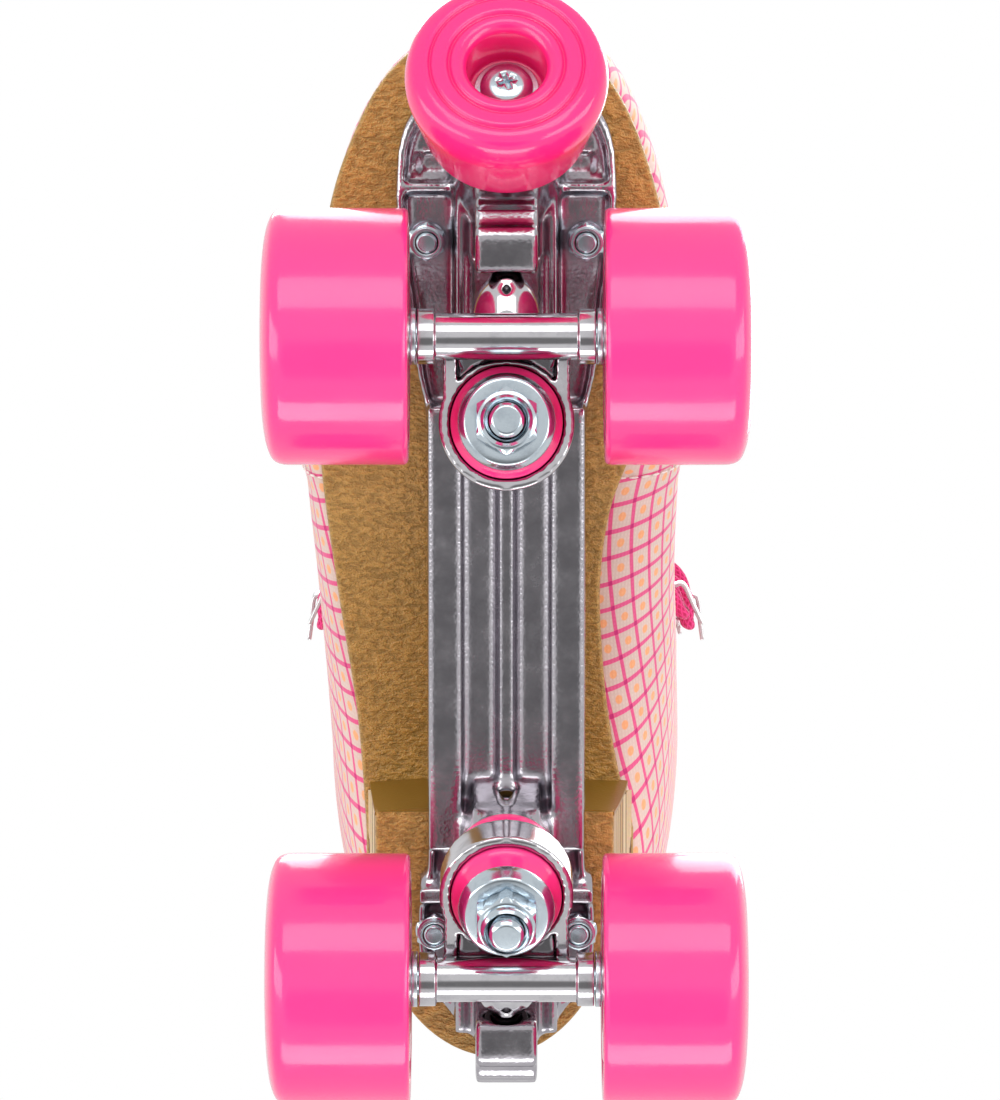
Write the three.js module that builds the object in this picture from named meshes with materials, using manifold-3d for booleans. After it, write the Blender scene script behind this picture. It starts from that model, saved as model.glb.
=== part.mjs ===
// Quad roller skate for the right foot. Millimetres, Z up from the floor, toe towards -Y, and the inner side
// of the foot on +X. The skate is laid out from the middle of its wheelbase, and moved at the end so that its
// box is centred on Y.
import * as THREE from "three";
import { mergeVertices } from "three/addons/utils/BufferGeometryUtils.js";
import Module from "manifold-3d";

const wasm = await Module();
wasm.setup();

// ---- Driving dimensions ----
const gap = 0.3;

const wheelDiameter = 58;
const wheelWidth = 33.2;
const wheelInnerX = 22.1;
const wheelbase = 150;

const bearingDiameter = 22;
const bearingBore = 8;
const bearingWidth = 7;
const axleDiameter = 7.4;

const plateRise = 42.7;        // top of the plate above the axles
const flangeThickness = 3.5;
const railDepth = 10.5;        // how far the rails hang below the top of the plate
const railInnerX = 10.5;
const railOuterX = 18.2;

const kingpinTilt = THREE.MathUtils.degToRad(12);
const kingpinDiameter = 8;
const ringForward = 20.6;      // ring centre, measured from the axle towards the middle of the skate
const ringRise = 4;            // ring centre above the axle
const ringOuterRadius = 15;
const ringCupRadius = 13;
const ringHoleRadius = 6.5;
const ringHeight = 10;
const ringWeb = 4;
const cushionRadius = 12.4;
const cushionTipRadius = 9.4;
const upperCushionHeight = 13;
const lowerCushionHeight = 11;

const pivotReach = 15;         // pivot centre, measured from the axle away from the middle of the skate
const pivotRise = 15.5;        // pivot centre above the axle
const pivotPinRadius = 3.4;
const pivotCupWall = 1.5;
const pivotCupDepth = 9;

const hangerTubeRadius = 5.3;
const hangerCollarRadius = 6.25;
const hangerCollarWidth = 3.9;

const boltDiameter = 5;
const boltClearance = 0.4;
const boltNutFlats = 8;
const boltNutHeight = 4.7;
const boltHeadRadius = 4.8;
const boltHeadHeight = 2.6;
const frontBoltX = 18.4;
const frontBoltAhead = 16;     // front bolts, ahead of the front axle
const rearBoltX = 17;
const rearBoltAhead = 1.4;     // rear bolts, ahead of the rear axle

const stopTilt = THREE.MathUtils.degToRad(40);
const stopBaseAhead = 45.5;    // centre of the toe stop's base, ahead of the front axle
const stopBaseDrop = 21.5;     // and below the top of the plate
const stopHeight = 22.5;
const stopBaseRadius = 19;
const stopRimRadius = 23;
const stopRimRound = 4;
const stopHoleRadius = 9;
const stopHoleDepth = 13;

const bootLength = 248.4;
const bootWidth = 84.5;
const bootHeight = 171;        // collar above the ball of the foot
const heelRise = 25;
const outsoleThickness = 3.7;
const heelLiftThickness = 4;
const upperWall = 3.2;
const insoleThickness = 2;
const footbedThickness = 3.5;
const padThickness = 7;
const tongueThickness = 4.5;
const laceRadius = 1.75;

// ---- Places that follow from them ----
const axleZ = wheelDiameter / 2;
const plateTop = axleZ + plateRise;
const soleBottom = plateTop + gap;
const ballZ = soleBottom + outsoleThickness + gap;
const frontAxleY = -wheelbase / 2;
const rearAxleY = wheelbase / 2;

// ---- Geometry helpers ----

// Turns a closed three.js geometry into a solid, with its faces pointing out.
function solid(geometry) {
  const bare = new THREE.BufferGeometry();
  bare.setAttribute("position", geometry.getAttribute("position").clone());
  if (geometry.index) bare.setIndex(geometry.index.clone());
  const merged = mergeVertices(bare, 1e-3);
  const points = merged.getAttribute("position");
  const corner = [0, 1, 2].map(() => new THREE.Vector3());
  const faces = [];
  let volume = 0;
  for (let i = 0; i < merged.index.count; i += 3) {
    const face = [0, 1, 2].map((k) => merged.index.getX(i + k));
    if (face[0] === face[1] || face[1] === face[2] || face[2] === face[0]) continue;
    face.forEach((index, k) => corner[k].fromBufferAttribute(points, index));
    volume += corner[0].dot(corner[1].clone().cross(corner[2]));
    faces.push(face);
  }
  const outward = volume > 0 ? faces : faces.map(([a, b, c]) => [a, c, b]);
  return new wasm.Manifold(new wasm.Mesh({
    numProp: 3,
    vertProperties: new Float32Array(points.array),
    triVerts: new Uint32Array(outward.flat()),
  }));
}

function geometryOf(body) {
  const mesh = body.getMesh();
  const geometry = new THREE.BufferGeometry();
  geometry.setAttribute("position", new THREE.BufferAttribute(new Float32Array(mesh.vertProperties), 3));
  geometry.setIndex(Array.from(mesh.triVerts));
  geometry.computeVertexNormals();
  return geometry;
}

const union = (...bodies) => bodies.reduce((sum, body) => sum.add(body));
const cut = (body, ...tools) => tools.reduce((rest, tool) => rest.subtract(tool), body);

// A body turned about the Z axis from [radius, height] points.
function turned(profile, segments = 16) {
  const closed = profile[0][0] > 0 ? [...profile, profile[0]] : profile;
  const points = closed.map(([radius, height]) => new THREE.Vector2(radius, height));
  return new THREE.LatheGeometry(points, segments, Math.PI / segments).rotateX(Math.PI / 2);
}

const rod = (radius, low, high, segments = 16) =>
  turned([[0, low], [radius, low], [radius, high], [0, high]], segments);

const ring = (inner, outer, low, high, segments = 16) =>
  turned([[inner, low], [outer, low], [outer, high], [inner, high]], segments);

const block = (x0, x1, y0, y1, z0, z1) =>
  new THREE.BoxGeometry(x1 - x0, y1 - y0, z1 - z0).translate((x0 + x1) / 2, (y0 + y1) / 2, (z0 + z1) / 2);

// A flat outline of [x, y] points, raised from one height to another.
function slab(points, low, high) {
  const shape = new THREE.Shape(points.map(([x, y]) => new THREE.Vector2(x, y)));
  return new THREE.ExtrudeGeometry(shape, { depth: high - low, bevelEnabled: false }).translate(0, 0, low);
}

// A side outline of [y, z] points, drawn out along X.
function sideSlab(points, x0, x1) {
  return slab(points, x0, x1).applyMatrix4(new THREE.Matrix4().set(0, 0, 1, 0, 1, 0, 0, 0, 0, 1, 0, 0, 0, 0, 0, 1));
}

function hexagon(flats) {
  const radius = flats / 2 / Math.cos(Math.PI / 6);
  return [0, 1, 2, 3, 4, 5].map((k) => [radius * Math.cos((k * Math.PI) / 3), radius * Math.sin((k * Math.PI) / 3)]);
}

// A lock nut on the Z axis: hexagon, round crimped collar, and a through hole.
function lockNut(flats, height, bore, crimp) {
  const body = union(
    solid(slab(hexagon(flats), 0, height - crimp)),
    solid(rod(flats / 2 - 0.6, 0.1, height, 12)),
  );
  return cut(body, solid(rod(bore / 2, -1, height + 1, 12)));
}

// Skins a row of equal rings of points into a closed body.
function loft(rings) {
  const count = rings[0].length;
  const vertices = rings.flat().flatMap((point) => [point.x, point.y, point.z]);
  const faces = [];
  for (let i = 0; i + 1 < rings.length; i++) {
    for (let k = 0; k < count; k++) {
      const next = (k + 1) % count;
      const [a, b, c, d] = [i * count + k, i * count + next, (i + 1) * count + next, (i + 1) * count + k];
      faces.push(a, b, c, a, c, d);
    }
  }
  for (const [ringIndex, turn] of [[0, -1], [rings.length - 1, 1]]) {
    const centre = vertices.length / 3;
    const middle = rings[ringIndex].reduce((sum, point) => sum.add(point), new THREE.Vector3());
    vertices.push(...middle.divideScalar(count).toArray());
    for (let k = 0; k < count; k++) {
      const [a, b] = [ringIndex * count + k, ringIndex * count + ((k + 1) % count)];
      faces.push(...(turn > 0 ? [a, b, centre] : [b, a, centre]));
    }
  }
  const geometry = new THREE.BufferGeometry();
  geometry.setAttribute("position", new THREE.BufferAttribute(new Float32Array(vertices), 3));
  geometry.setIndex(faces);
  return geometry;
}

// ---- Finishes ----
const finish = (color, roughness, metalness) => new THREE.MeshStandardMaterial({ color, roughness, metalness });
const urethane = finish(0xff4d94, 0.25, 0);
const castAluminium = finish(0xb9b6bb, 0.25, 1);
const zincSteel = finish(0xc3cdd6, 0.3, 1);
const chrome = finish(0xd8d8dc, 0.12, 1);
const soleLeather = finish(0xb08a45, 0.6, 0);
const stackedLeather = finish(0xcdb48d, 0.7, 0);
const printedFabric = finish(0xe6cfc2, 0.75, 0);
const lining = finish(0xe9d5cf, 0.9, 0);
const laceFabric = finish(0xf0307f, 0.8, 0);
const nylon = finish(0x2b2b2e, 0.5, 0);
const fibreboard = finish(0xa58a68, 0.9, 0);

const skate = new THREE.Group();

function part(parent, name, shape, material) {
  const mesh = new THREE.Mesh(geometryOf(shape.isBufferGeometry ? solid(shape) : shape), material);
  mesh.name = name;
  parent.add(mesh);
  return mesh;
}

// ---- Wheels, bearings and axle nuts ----
const treadRadius = wheelDiameter / 2;
const bearingRadius = bearingDiameter / 2;
const seatRadius = bearingRadius + gap;
const inboardBearingX = 1;                                  // set in from the wheel's inner face
const nutHeight = 6.5;
const outboardBearingX = wheelWidth - nutHeight - 2 * gap - bearingWidth - 1;

// The wheel turns about Z here, from its inner face at 0 to its outer face.
function wheelGeometry() {
  const segments = 28;
  const flat = 1 / Math.cos(Math.PI / segments);
  const hubRadius = seatRadius - 2.3;
  return turned([
    [seatRadius, 0],
    [treadRadius - 1.5, 0],
    [treadRadius, 1.5],
    [treadRadius, wheelWidth - 4.2],
    [treadRadius - 6, wheelWidth - 1],
    [treadRadius - 15, wheelWidth],
    [seatRadius, wheelWidth - 0.6],
    [seatRadius, outboardBearingX - gap],
    [hubRadius, outboardBearingX - gap],
    [hubRadius, inboardBearingX + bearingWidth + gap],
    [seatRadius, inboardBearingX + bearingWidth + gap],
  ].map(([radius, height]) => [radius * (radius === treadRadius ? flat : 1), height]), segments);
}

const bearingGeometry = () => turned([
  [bearingBore / 2, 0],
  [bearingRadius, 0],
  [bearingRadius, bearingWidth],
  [bearingBore / 2, bearingWidth],
], 16);

function wheelSet(parent, end, side, sideSign) {
  const axis = new THREE.Group();
  axis.position.set(sideSign * wheelInnerX, 0, axleZ);
  axis.rotation.y = (sideSign * Math.PI) / 2;
  parent.add(axis);
  part(axis, `wheel_${end}_${side}`, wheelGeometry(), urethane);
  part(axis, `bearing_${end}_${side}_inboard`, bearingGeometry(), zincSteel).position.z = inboardBearingX;
  part(axis, `bearing_${end}_${side}_outboard`, bearingGeometry(), zincSteel).position.z = outboardBearingX;
  const nut = part(axis, `axle_nut_${end}_${side}`, lockNut(13, nutHeight, bearingBore, 1.5), zincSteel);
  nut.position.z = outboardBearingX + bearingWidth + gap;
}

// ---- Trucks ----
// Each truck is laid out with its axle at Y 0, its pivot towards -Y and its ring towards +Y.
const ringCentre = new THREE.Vector3(0, ringForward, axleZ + ringRise);
const pivotCentre = new THREE.Vector3(0, -pivotReach, axleZ + pivotRise);
const tiltAxis = ringCentre.clone().sub(pivotCentre).normalize();

// Turns Z onto a direction in the YZ plane and moves the origin onto a point.
function along(point, direction) {
  const turn = new THREE.Quaternion().setFromUnitVectors(new THREE.Vector3(0, 0, 1), direction);
  return new THREE.Matrix4().compose(point, turn, new THREE.Vector3(1, 1, 1));
}
const kingpinUp = new THREE.Vector3(0, Math.sin(kingpinTilt), Math.cos(kingpinTilt));
const kingpinFrame = along(ringCentre, kingpinUp);
const pivotFrame = along(pivotCentre, tiltAxis.clone().negate());

const washerThickness = 1.5;
const kingpinNutHeight = 8;
const kingpinNutFlats = 13.4;
const upperCushionLow = ringWeb / 2 + gap;
const bossFace = upperCushionLow + upperCushionHeight + gap;
const lowerCushionHigh = -ringWeb / 2 - gap;
const washerHigh = lowerCushionHigh - lowerCushionHeight - gap;
const kingpinNutHigh = washerHigh - washerThickness - gap;
const kingpinEnd = kingpinNutHigh - kingpinNutHeight - 2.2;
const kingpinHeadHeight = 5;
const kingpinHeadRadius = 7.4;
const kingpinHeadLow = (plateTop - ringCentre.z - kingpinHeadRadius * Math.sin(kingpinTilt)) / Math.cos(kingpinTilt)
  - kingpinHeadHeight - 1;
const pivotSocketRadius = pivotPinRadius + gap + pivotCupWall;
const pivotCupMouth = -2;

function hangerBody() {
  const tube = solid(turned([
    [0, -wheelInnerX + 2 * gap + 1.3],
    [hangerCollarRadius, -wheelInnerX + 2 * gap + 1.3],
    [hangerCollarRadius, -wheelInnerX + 2 * gap + 1.3 + hangerCollarWidth],
    [hangerTubeRadius, -wheelInnerX + 2 * gap + 1.8 + hangerCollarWidth],
    [hangerTubeRadius, wheelInnerX - 2 * gap - 1.8 - hangerCollarWidth],
    [hangerCollarRadius, wheelInnerX - 2 * gap - 1.3 - hangerCollarWidth],
    [hangerCollarRadius, wheelInnerX - 2 * gap - 1.3],
    [0, wheelInnerX - 2 * gap - 1.3],
  ]).rotateY(Math.PI / 2).translate(0, 0, axleZ));
  const ringBody = solid(rod(ringOuterRadius, -ringHeight / 2, ringHeight / 2, 24).applyMatrix4(kingpinFrame));
  const cups = [-1, 1].map((way) => solid(rod(
    ringCupRadius,
    way > 0 ? ringWeb / 2 : -ringHeight,
    way > 0 ? ringHeight : -ringWeb / 2,
    24,
  ).applyMatrix4(kingpinFrame)));
  const kingpinHole = solid(rod(ringHoleRadius, -ringHeight, ringHeight).applyMatrix4(kingpinFrame));
  // The web spreads from the ring to the tube, and its crown runs up into the pivot pin.
  const web = solid(slab([
    [-14.3, -2], [14.3, -2], [14.3, 8], [ringOuterRadius - 1, ringForward], [1 - ringOuterRadius, ringForward],
    [-14.3, 8],
  ], axleZ - 2, axleZ + ringRise + 4));
  const armLength = ringCentre.distanceTo(pivotCentre);
  const arm = solid(turned([
    [0, -armLength + ringOuterRadius - 2],
    [9, -armLength + ringOuterRadius - 2],
    [7, -8],
    [pivotPinRadius, -3.5],
    [pivotPinRadius, 4],
    [pivotPinRadius - 1.5, 5.5],
    [0, 5.5],
  ]).applyMatrix4(pivotFrame));
  const underside = solid(block(-12, 12, -3, ringForward - 8, axleZ + 2, axleZ + ringRise + 6));
  const axleHole = solid(rod(axleDiameter / 2 + gap, -wheelInnerX, wheelInnerX)
    .rotateY(Math.PI / 2).translate(0, 0, axleZ));
  return cut(union(ringBody, web, underside, tube, arm), ...cups, kingpinHole, axleHole);
}

function truck(end, endAxleY, facing) {
  const group = new THREE.Group();
  group.position.y = endAxleY;
  group.rotation.z = facing;
  skate.add(group);
  part(group, `${end}_hanger`, hangerBody(), chrome);
  const axleReach = wheelInnerX + outboardBearingX + bearingWidth + gap + nutHeight - 0.5;
  part(group, `${end}_axle`, rod(axleDiameter / 2, -axleReach, axleReach).rotateY(Math.PI / 2)
    .translate(0, 0, axleZ), zincSteel);

  const kingpinAxis = new THREE.Group();
  kingpinAxis.applyMatrix4(kingpinFrame);
  group.add(kingpinAxis);
  const hole = kingpinDiameter / 2 + gap;
  part(kingpinAxis, `${end}_kingpin`, union(
    solid(rod(kingpinDiameter / 2, kingpinEnd, kingpinHeadLow + 1)),
    solid(slab(hexagon(2 * kingpinHeadRadius * Math.cos(Math.PI / 6)), kingpinHeadLow,
      kingpinHeadLow + kingpinHeadHeight)),
  ), zincSteel);
  part(kingpinAxis, `${end}_upper_cushion`, turned([
    [hole, upperCushionLow],
    [cushionRadius, upperCushionLow],
    [cushionRadius, upperCushionLow + 3],
    [cushionRadius - 1.2, upperCushionLow + upperCushionHeight / 2],
    [cushionRadius, upperCushionLow + upperCushionHeight - 2],
    [cushionRadius - 1, upperCushionLow + upperCushionHeight],
    [hole, upperCushionLow + upperCushionHeight],
  ]), urethane);
  part(kingpinAxis, `${end}_lower_cushion`, turned([
    [hole, lowerCushionHigh],
    [cushionRadius, lowerCushionHigh],
    [cushionRadius, lowerCushionHigh - 3],
    [cushionTipRadius, lowerCushionHigh - lowerCushionHeight],
    [hole, lowerCushionHigh - lowerCushionHeight],
  ]), urethane);
  part(kingpinAxis, `${end}_cushion_washer`, turned([
    [hole, washerHigh],
    [cushionTipRadius + 0.3, washerHigh],
    [cushionTipRadius + 0.3, washerHigh - washerThickness / 2],
    [cushionTipRadius - 1, washerHigh - washerThickness],
    [hole, washerHigh - washerThickness],
  ]), zincSteel);
  const nut = part(kingpinAxis, `${end}_kingpin_nut`,
    lockNut(kingpinNutFlats, kingpinNutHeight, kingpinDiameter + 2 * gap, 2), zincSteel);
  nut.position.z = kingpinNutHigh;
  nut.rotation.x = Math.PI;

  const pivotAxis = new THREE.Group();
  pivotAxis.applyMatrix4(pivotFrame);
  group.add(pivotAxis);
  const cupEnd = pivotCupMouth + pivotCupDepth;
  part(pivotAxis, `${end}_pivot_cup`, turned([
    [pivotPinRadius + gap, pivotCupMouth],
    [pivotSocketRadius, pivotCupMouth],
    [pivotSocketRadius, cupEnd + pivotCupWall],
    [0, cupEnd + pivotCupWall],
    [0, cupEnd],
    [pivotPinRadius + gap, cupEnd],
  ]), nylon);

  for (const [side, sideSign] of [["medial", 1], ["lateral", -1]]) {
    wheelSet(group, end, side, facing === 0 ? sideSign : -sideSign);
  }
  group.updateMatrix();
  return group.matrix;
}
const frontTruck = truck("front", frontAxleY, 0);
const rearTruck = truck("rear", rearAxleY, Math.PI);

// ---- Boot surface ----
// Each row is one cross-section, from the toe to the collar: how far along the foot its lower end lies, how high
// that is as a share of the heel's rise, its height above the heel seat, where its upper end lies and how high
// above the ball of the foot, its half-widths (lateral, medial), the flat share of each at the sole, the share of
// its height where it is widest, and how squarely it closes at the top (1 is an ellipse, less is squarer).
const sections = [
  [-140.5, 0.14, 0, -141, 15, 7, 6, 0.5, 0.5, 0.45, 1],
  [-137, 0.06, 0, -138.5, 27, 18, 15.5, 0.8, 0.8, 0.42, 0.95],
  [-128, 0, 0, -130, 36.5, 29, 25.5, 0.88, 0.88, 0.38, 0.95],
  [-112, 0, 0, -112, 43, 38.5, 33.5, 0.9, 0.9, 0.34, 0.95],
  [-90, 0, 0, -88, 48.5, 44, 39, 0.92, 0.92, 0.32, 0.95],
  [-62, 0, 0, -60, 57, 47, 41.5, 0.92, 0.9, 0.3, 0.95],
  [-32, 0.12, 0, -36, 69, 47.4, 41, 0.89, 0.62, 0.32, 0.85],
  [0, 0.48, 0, -18, 78, 45.5, 40.5, 0.83, 0.52, 0.4, 0.75],
  [35, 0.86, 0, -3, 90, 44, 41.5, 0.74, 0.57, 0.5, 0.62],
  [70, 1, 0, 8, 102, 43, 42, 0.7, 0.67, 0.6, 0.52],
  [97, 1.1, 0, 14, 112, 43, 42.5, 0.45, 0.45, 0.65, 0.46],
  [107.5, 1, 20, 16, 122, 43, 43, 0.1, 0.1, 0.66, 0.44],
  [106, 1, 49, 16, 134, 43, 43, 0.05, 0.05, 0.64, 0.44],
  [102.5, 1, 84, 15, 147, 43, 43, 0.05, 0.05, 0.6, 0.46],
  [102.5, 1, 117, 12, 159, 43, 43, 0.05, 0.05, 0.58, 0.48],
  [105, 1, 146, 8, 171, 43.5, 43.5, 0.05, 0.05, 0.57, 0.5],
  [106, 1, 155, 5, 180, 43.5, 43.5, 0.05, 0.05, 0.57, 0.5],
];
const collarSection = 15;
const lastSoleSection = 10;
const lengthScale = bootLength / 248.4;
const widthScale = bootWidth / 84.5;
const heightScale = bootHeight / 171;
const halfRingSteps = 9;

// The section at a whole or fractional place along the row list.
function sectionAt(place) {
  const low = Math.min(Math.floor(place), sections.length - 2);
  const row = sections[low].map((value, k) => THREE.MathUtils.lerp(value, sections[low + 1][k], place - low));
  const [lowY, seat, back, topY, top, lateral, medial, flatLateral, flatMedial, widest, square] = row;
  return {
    low: new THREE.Vector3(0, lowY * lengthScale, ballZ + seat * heelRise + back * heightScale),
    top: new THREE.Vector3(0, topY * lengthScale, ballZ + top * heightScale),
    half: { lateral: lateral * widthScale, medial: medial * widthScale },
    flat: { lateral: flatLateral, medial: flatMedial },
    widest,
    square,
  };
}

// A point on a section: the angle runs from 0 at the sole to PI at the top.
function sectionPoint(section, angle, side) {
  const flat = section.flat[side];
  const rising = angle < Math.PI / 2;
  const sine = Math.max(Math.sin(angle), 0);
  const width = section.half[side] * (rising ? flat + (1 - flat) * sine : sine ** section.square);
  const climb = rising
    ? section.widest * (1 - Math.cos(angle))
    : section.widest + (1 - section.widest) * Math.abs(Math.cos(angle)) ** section.square;
  const point = section.low.clone().lerp(section.top, climb);
  point.x = side === "medial" ? width : -width;
  return point;
}

function sectionRing(place) {
  const section = sectionAt(place);
  const points = [];
  for (let k = 0; k <= halfRingSteps; k++) {
    points.push(sectionPoint(section, (Math.PI * k) / halfRingSteps, "medial"));
  }
  for (let k = halfRingSteps - 1; k >= 0; k--) {
    points.push(sectionPoint(section, (Math.PI * k) / halfRingSteps, "lateral"));
  }
  return points;
}

// The boot's outer form moved inwards by an inset, over a run of its sections.
function bootForm(inset, first = 0, last = sections.length - 1) {
  const rings = [];
  for (let place = first; place <= last; place++) rings.push(sectionRing(place));
  const count = rings[0].length;
  return solid(loft(rings.map((points, i) => {
    const before = rings[Math.max(i - 1, 0)];
    const after = rings[Math.min(i + 1, rings.length - 1)];
    const middle = points.reduce((sum, point) => sum.add(point), new THREE.Vector3()).divideScalar(count);
    return points.map((point, k) => {
      const lengthwise = after[k].clone().sub(before[k]);
      const around = points[(k + 1) % count].clone().sub(points[(k + count - 1) % count]);
      const normal = lengthwise.cross(around).normalize();
      if (normal.dot(point.clone().sub(middle)) < 0) normal.negate();
      return point.clone().addScaledVector(normal, -inset);
    });
  })));
}

// Where an angle lies on one side of a section, with the outward and upward directions there.
function surfacePoint(place, angle, side) {
  const point = sectionPoint(sectionAt(place), angle, side);
  const beside = sectionPoint(sectionAt(place), angle - 0.1, side).sub(point);
  const above = sectionPoint(sectionAt(place + 0.1), angle, side).sub(point);
  const normal = beside.clone().cross(above).normalize();
  if (normal.y > 0) normal.negate();
  return { point, normal, up: above.normalize() };
}

// The angle at which the front of a section has a given half-width.
function frontAngle(place, width, side) {
  const section = sectionAt(place);
  return Math.PI - Math.asin(Math.min(width / section.half[side], 0.99) ** (1 / section.square));
}

// The sole line of the boot, as [y, z] points, moved down by an offset, with level ends past the toe and heel.
function soleLine(offset) {
  const points = [];
  for (let place = 0; place <= lastSoleSection; place++) {
    const { y, z } = sectionAt(place).low;
    points.push([y, z - offset]);
  }
  const [toe, heel] = [points[0], points[lastSoleSection]];
  return [[toe[0] - 8, toe[1] + 1], ...points, [heel[0] + 20, heel[1] + 1]];
}

function soleHeight(y) {
  const line = soleLine(0);
  const k = line.findIndex((point) => point[0] > y);
  const [[y0, z0], [y1, z1]] = [line[k - 1], line[k]];
  return THREE.MathUtils.mapLinear(y, y0, y1, z0, z1);
}

const band = (upper, lower) => solid(sideSlab([...soleLine(upper), ...soleLine(lower).reverse()], -80, 80));
const beyond = 400;
const halfSpace = (x0, x1, y0, y1, z0 = -beyond, z1 = beyond) => solid(block(x0, x1, y0, y1, z0, z1));

// ---- Mounting bolts ----
const boltPlaces = [
  ["front_medial", frontBoltX, frontAxleY - frontBoltAhead],
  ["front_lateral", -frontBoltX, frontAxleY - frontBoltAhead],
  ["rear_medial", rearBoltX, rearAxleY - rearBoltAhead],
  ["rear_lateral", -rearBoltX, rearAxleY - rearBoltAhead],
];
const flangeBottom = plateTop - flangeThickness;
const insoleLow = upperWall + gap;
const insoleHigh = insoleLow + insoleThickness;
const boltHeadLow = insoleHigh + 0.8;
const footbedLow = insoleHigh + gap;
const footbedHigh = footbedLow + footbedThickness;
const boltHoles = boltPlaces.map(([, x, y]) =>
  solid(rod(boltDiameter / 2 + boltClearance, 0, soleHeight(y) + boltHeadLow, 12).translate(x, y, 0)));
const headHoles = boltPlaces.map(([, x, y]) =>
  solid(rod(boltHeadRadius + boltClearance, soleHeight(y) + insoleHigh, soleHeight(y) + beyond, 12)
    .translate(x, y, 0)));

for (const [place, x, y] of boltPlaces) {
  const headLow = soleHeight(y) + boltHeadLow;
  part(skate, `mounting_bolt_${place}`, turned([
    [0, flangeBottom - boltNutHeight - 3 * gap],
    [boltDiameter / 2, flangeBottom - boltNutHeight - 3 * gap],
    [boltDiameter / 2, headLow],
    [boltHeadRadius, headLow],
    [boltHeadRadius - 1, headLow + boltHeadHeight],
    [0, headLow + boltHeadHeight],
  ], 12), zincSteel).position.set(x, y, 0);
  const nut = part(skate, `mounting_nut_${place}`,
    lockNut(boltNutFlats, boltNutHeight, boltDiameter + 2 * gap, 1.2), zincSteel);
  nut.position.set(x, y, flangeBottom - gap);
  nut.rotation.x = Math.PI;
}

// ---- Toe stop ----
const stopBase = new THREE.Vector3(0, frontAxleY - stopBaseAhead, plateTop - stopBaseDrop);
const stopDown = new THREE.Vector3(0, -Math.sin(stopTilt), -Math.cos(stopTilt));
const stopFrame = along(stopBase, stopDown);
const stopFace = stopHeight + stopRimRound - 0.5;
const stopSeat = stopFace - stopHoleDepth;
const stopScrewRadius = 4;
const stopWasherThickness = 1.3;
const stopScrewLength = 14;

const stopAxis = new THREE.Group();
stopAxis.applyMatrix4(stopFrame);
skate.add(stopAxis);
part(stopAxis, "toe_stop", turned([
  [stopScrewRadius + gap, 0],
  [stopBaseRadius, 0],
  [stopRimRadius, stopHeight - stopRimRound],
  [stopRimRadius, stopHeight - 0.6],
  [stopRimRadius - 1.4, stopHeight + 2],
  [stopRimRadius - stopRimRound, stopFace],
  [stopHoleRadius + 1, stopFace],
  [stopHoleRadius, stopFace - 1],
  [stopHoleRadius, stopSeat],
  [stopScrewRadius + gap, stopSeat],
], 24), urethane);
part(stopAxis, "toe_stop_washer",
  ring(stopScrewRadius + gap, 7.5, stopSeat + gap, stopSeat + gap + stopWasherThickness), zincSteel);
const stopHeadLow = stopSeat + 2 * gap + stopWasherThickness;
part(stopAxis, "toe_stop_screw", turned([
  [0, -stopScrewLength],
  [stopScrewRadius, -stopScrewLength],
  [stopScrewRadius, stopHeadLow],
  [6.1, stopHeadLow],
  [5.4, stopHeadLow + 2.6],
  [0, stopHeadLow + 3.6],
]), zincSteel);

// ---- Plate ----
// Half-widths of the plate from its toe to its tail, each at a distance from the axle nearest to it.
const plateEdge = [
  [7, frontAxleY - 56.5],
  [15, frontAxleY - 53],
  [22, frontAxleY - 46],
  [24.6, frontAxleY - 40],
  [26, frontAxleY - 25],
  [21, frontAxleY + 14],
  [railOuterX + gap, frontAxleY + 24],
  [railOuterX + gap, rearAxleY - 15],
  [20.8, rearAxleY - 8],
  [20.8, rearAxleY + 9],
  [8, rearAxleY + 25],
];
const plateOutline = (inset) => [
  ...plateEdge.map(([half, y]) => [half - inset, y + (y < 0 ? inset : -inset)]),
  ...plateEdge.map(([half, y]) => [inset - half, y + (y < 0 ? inset : -inset)]).reverse(),
];

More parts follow.
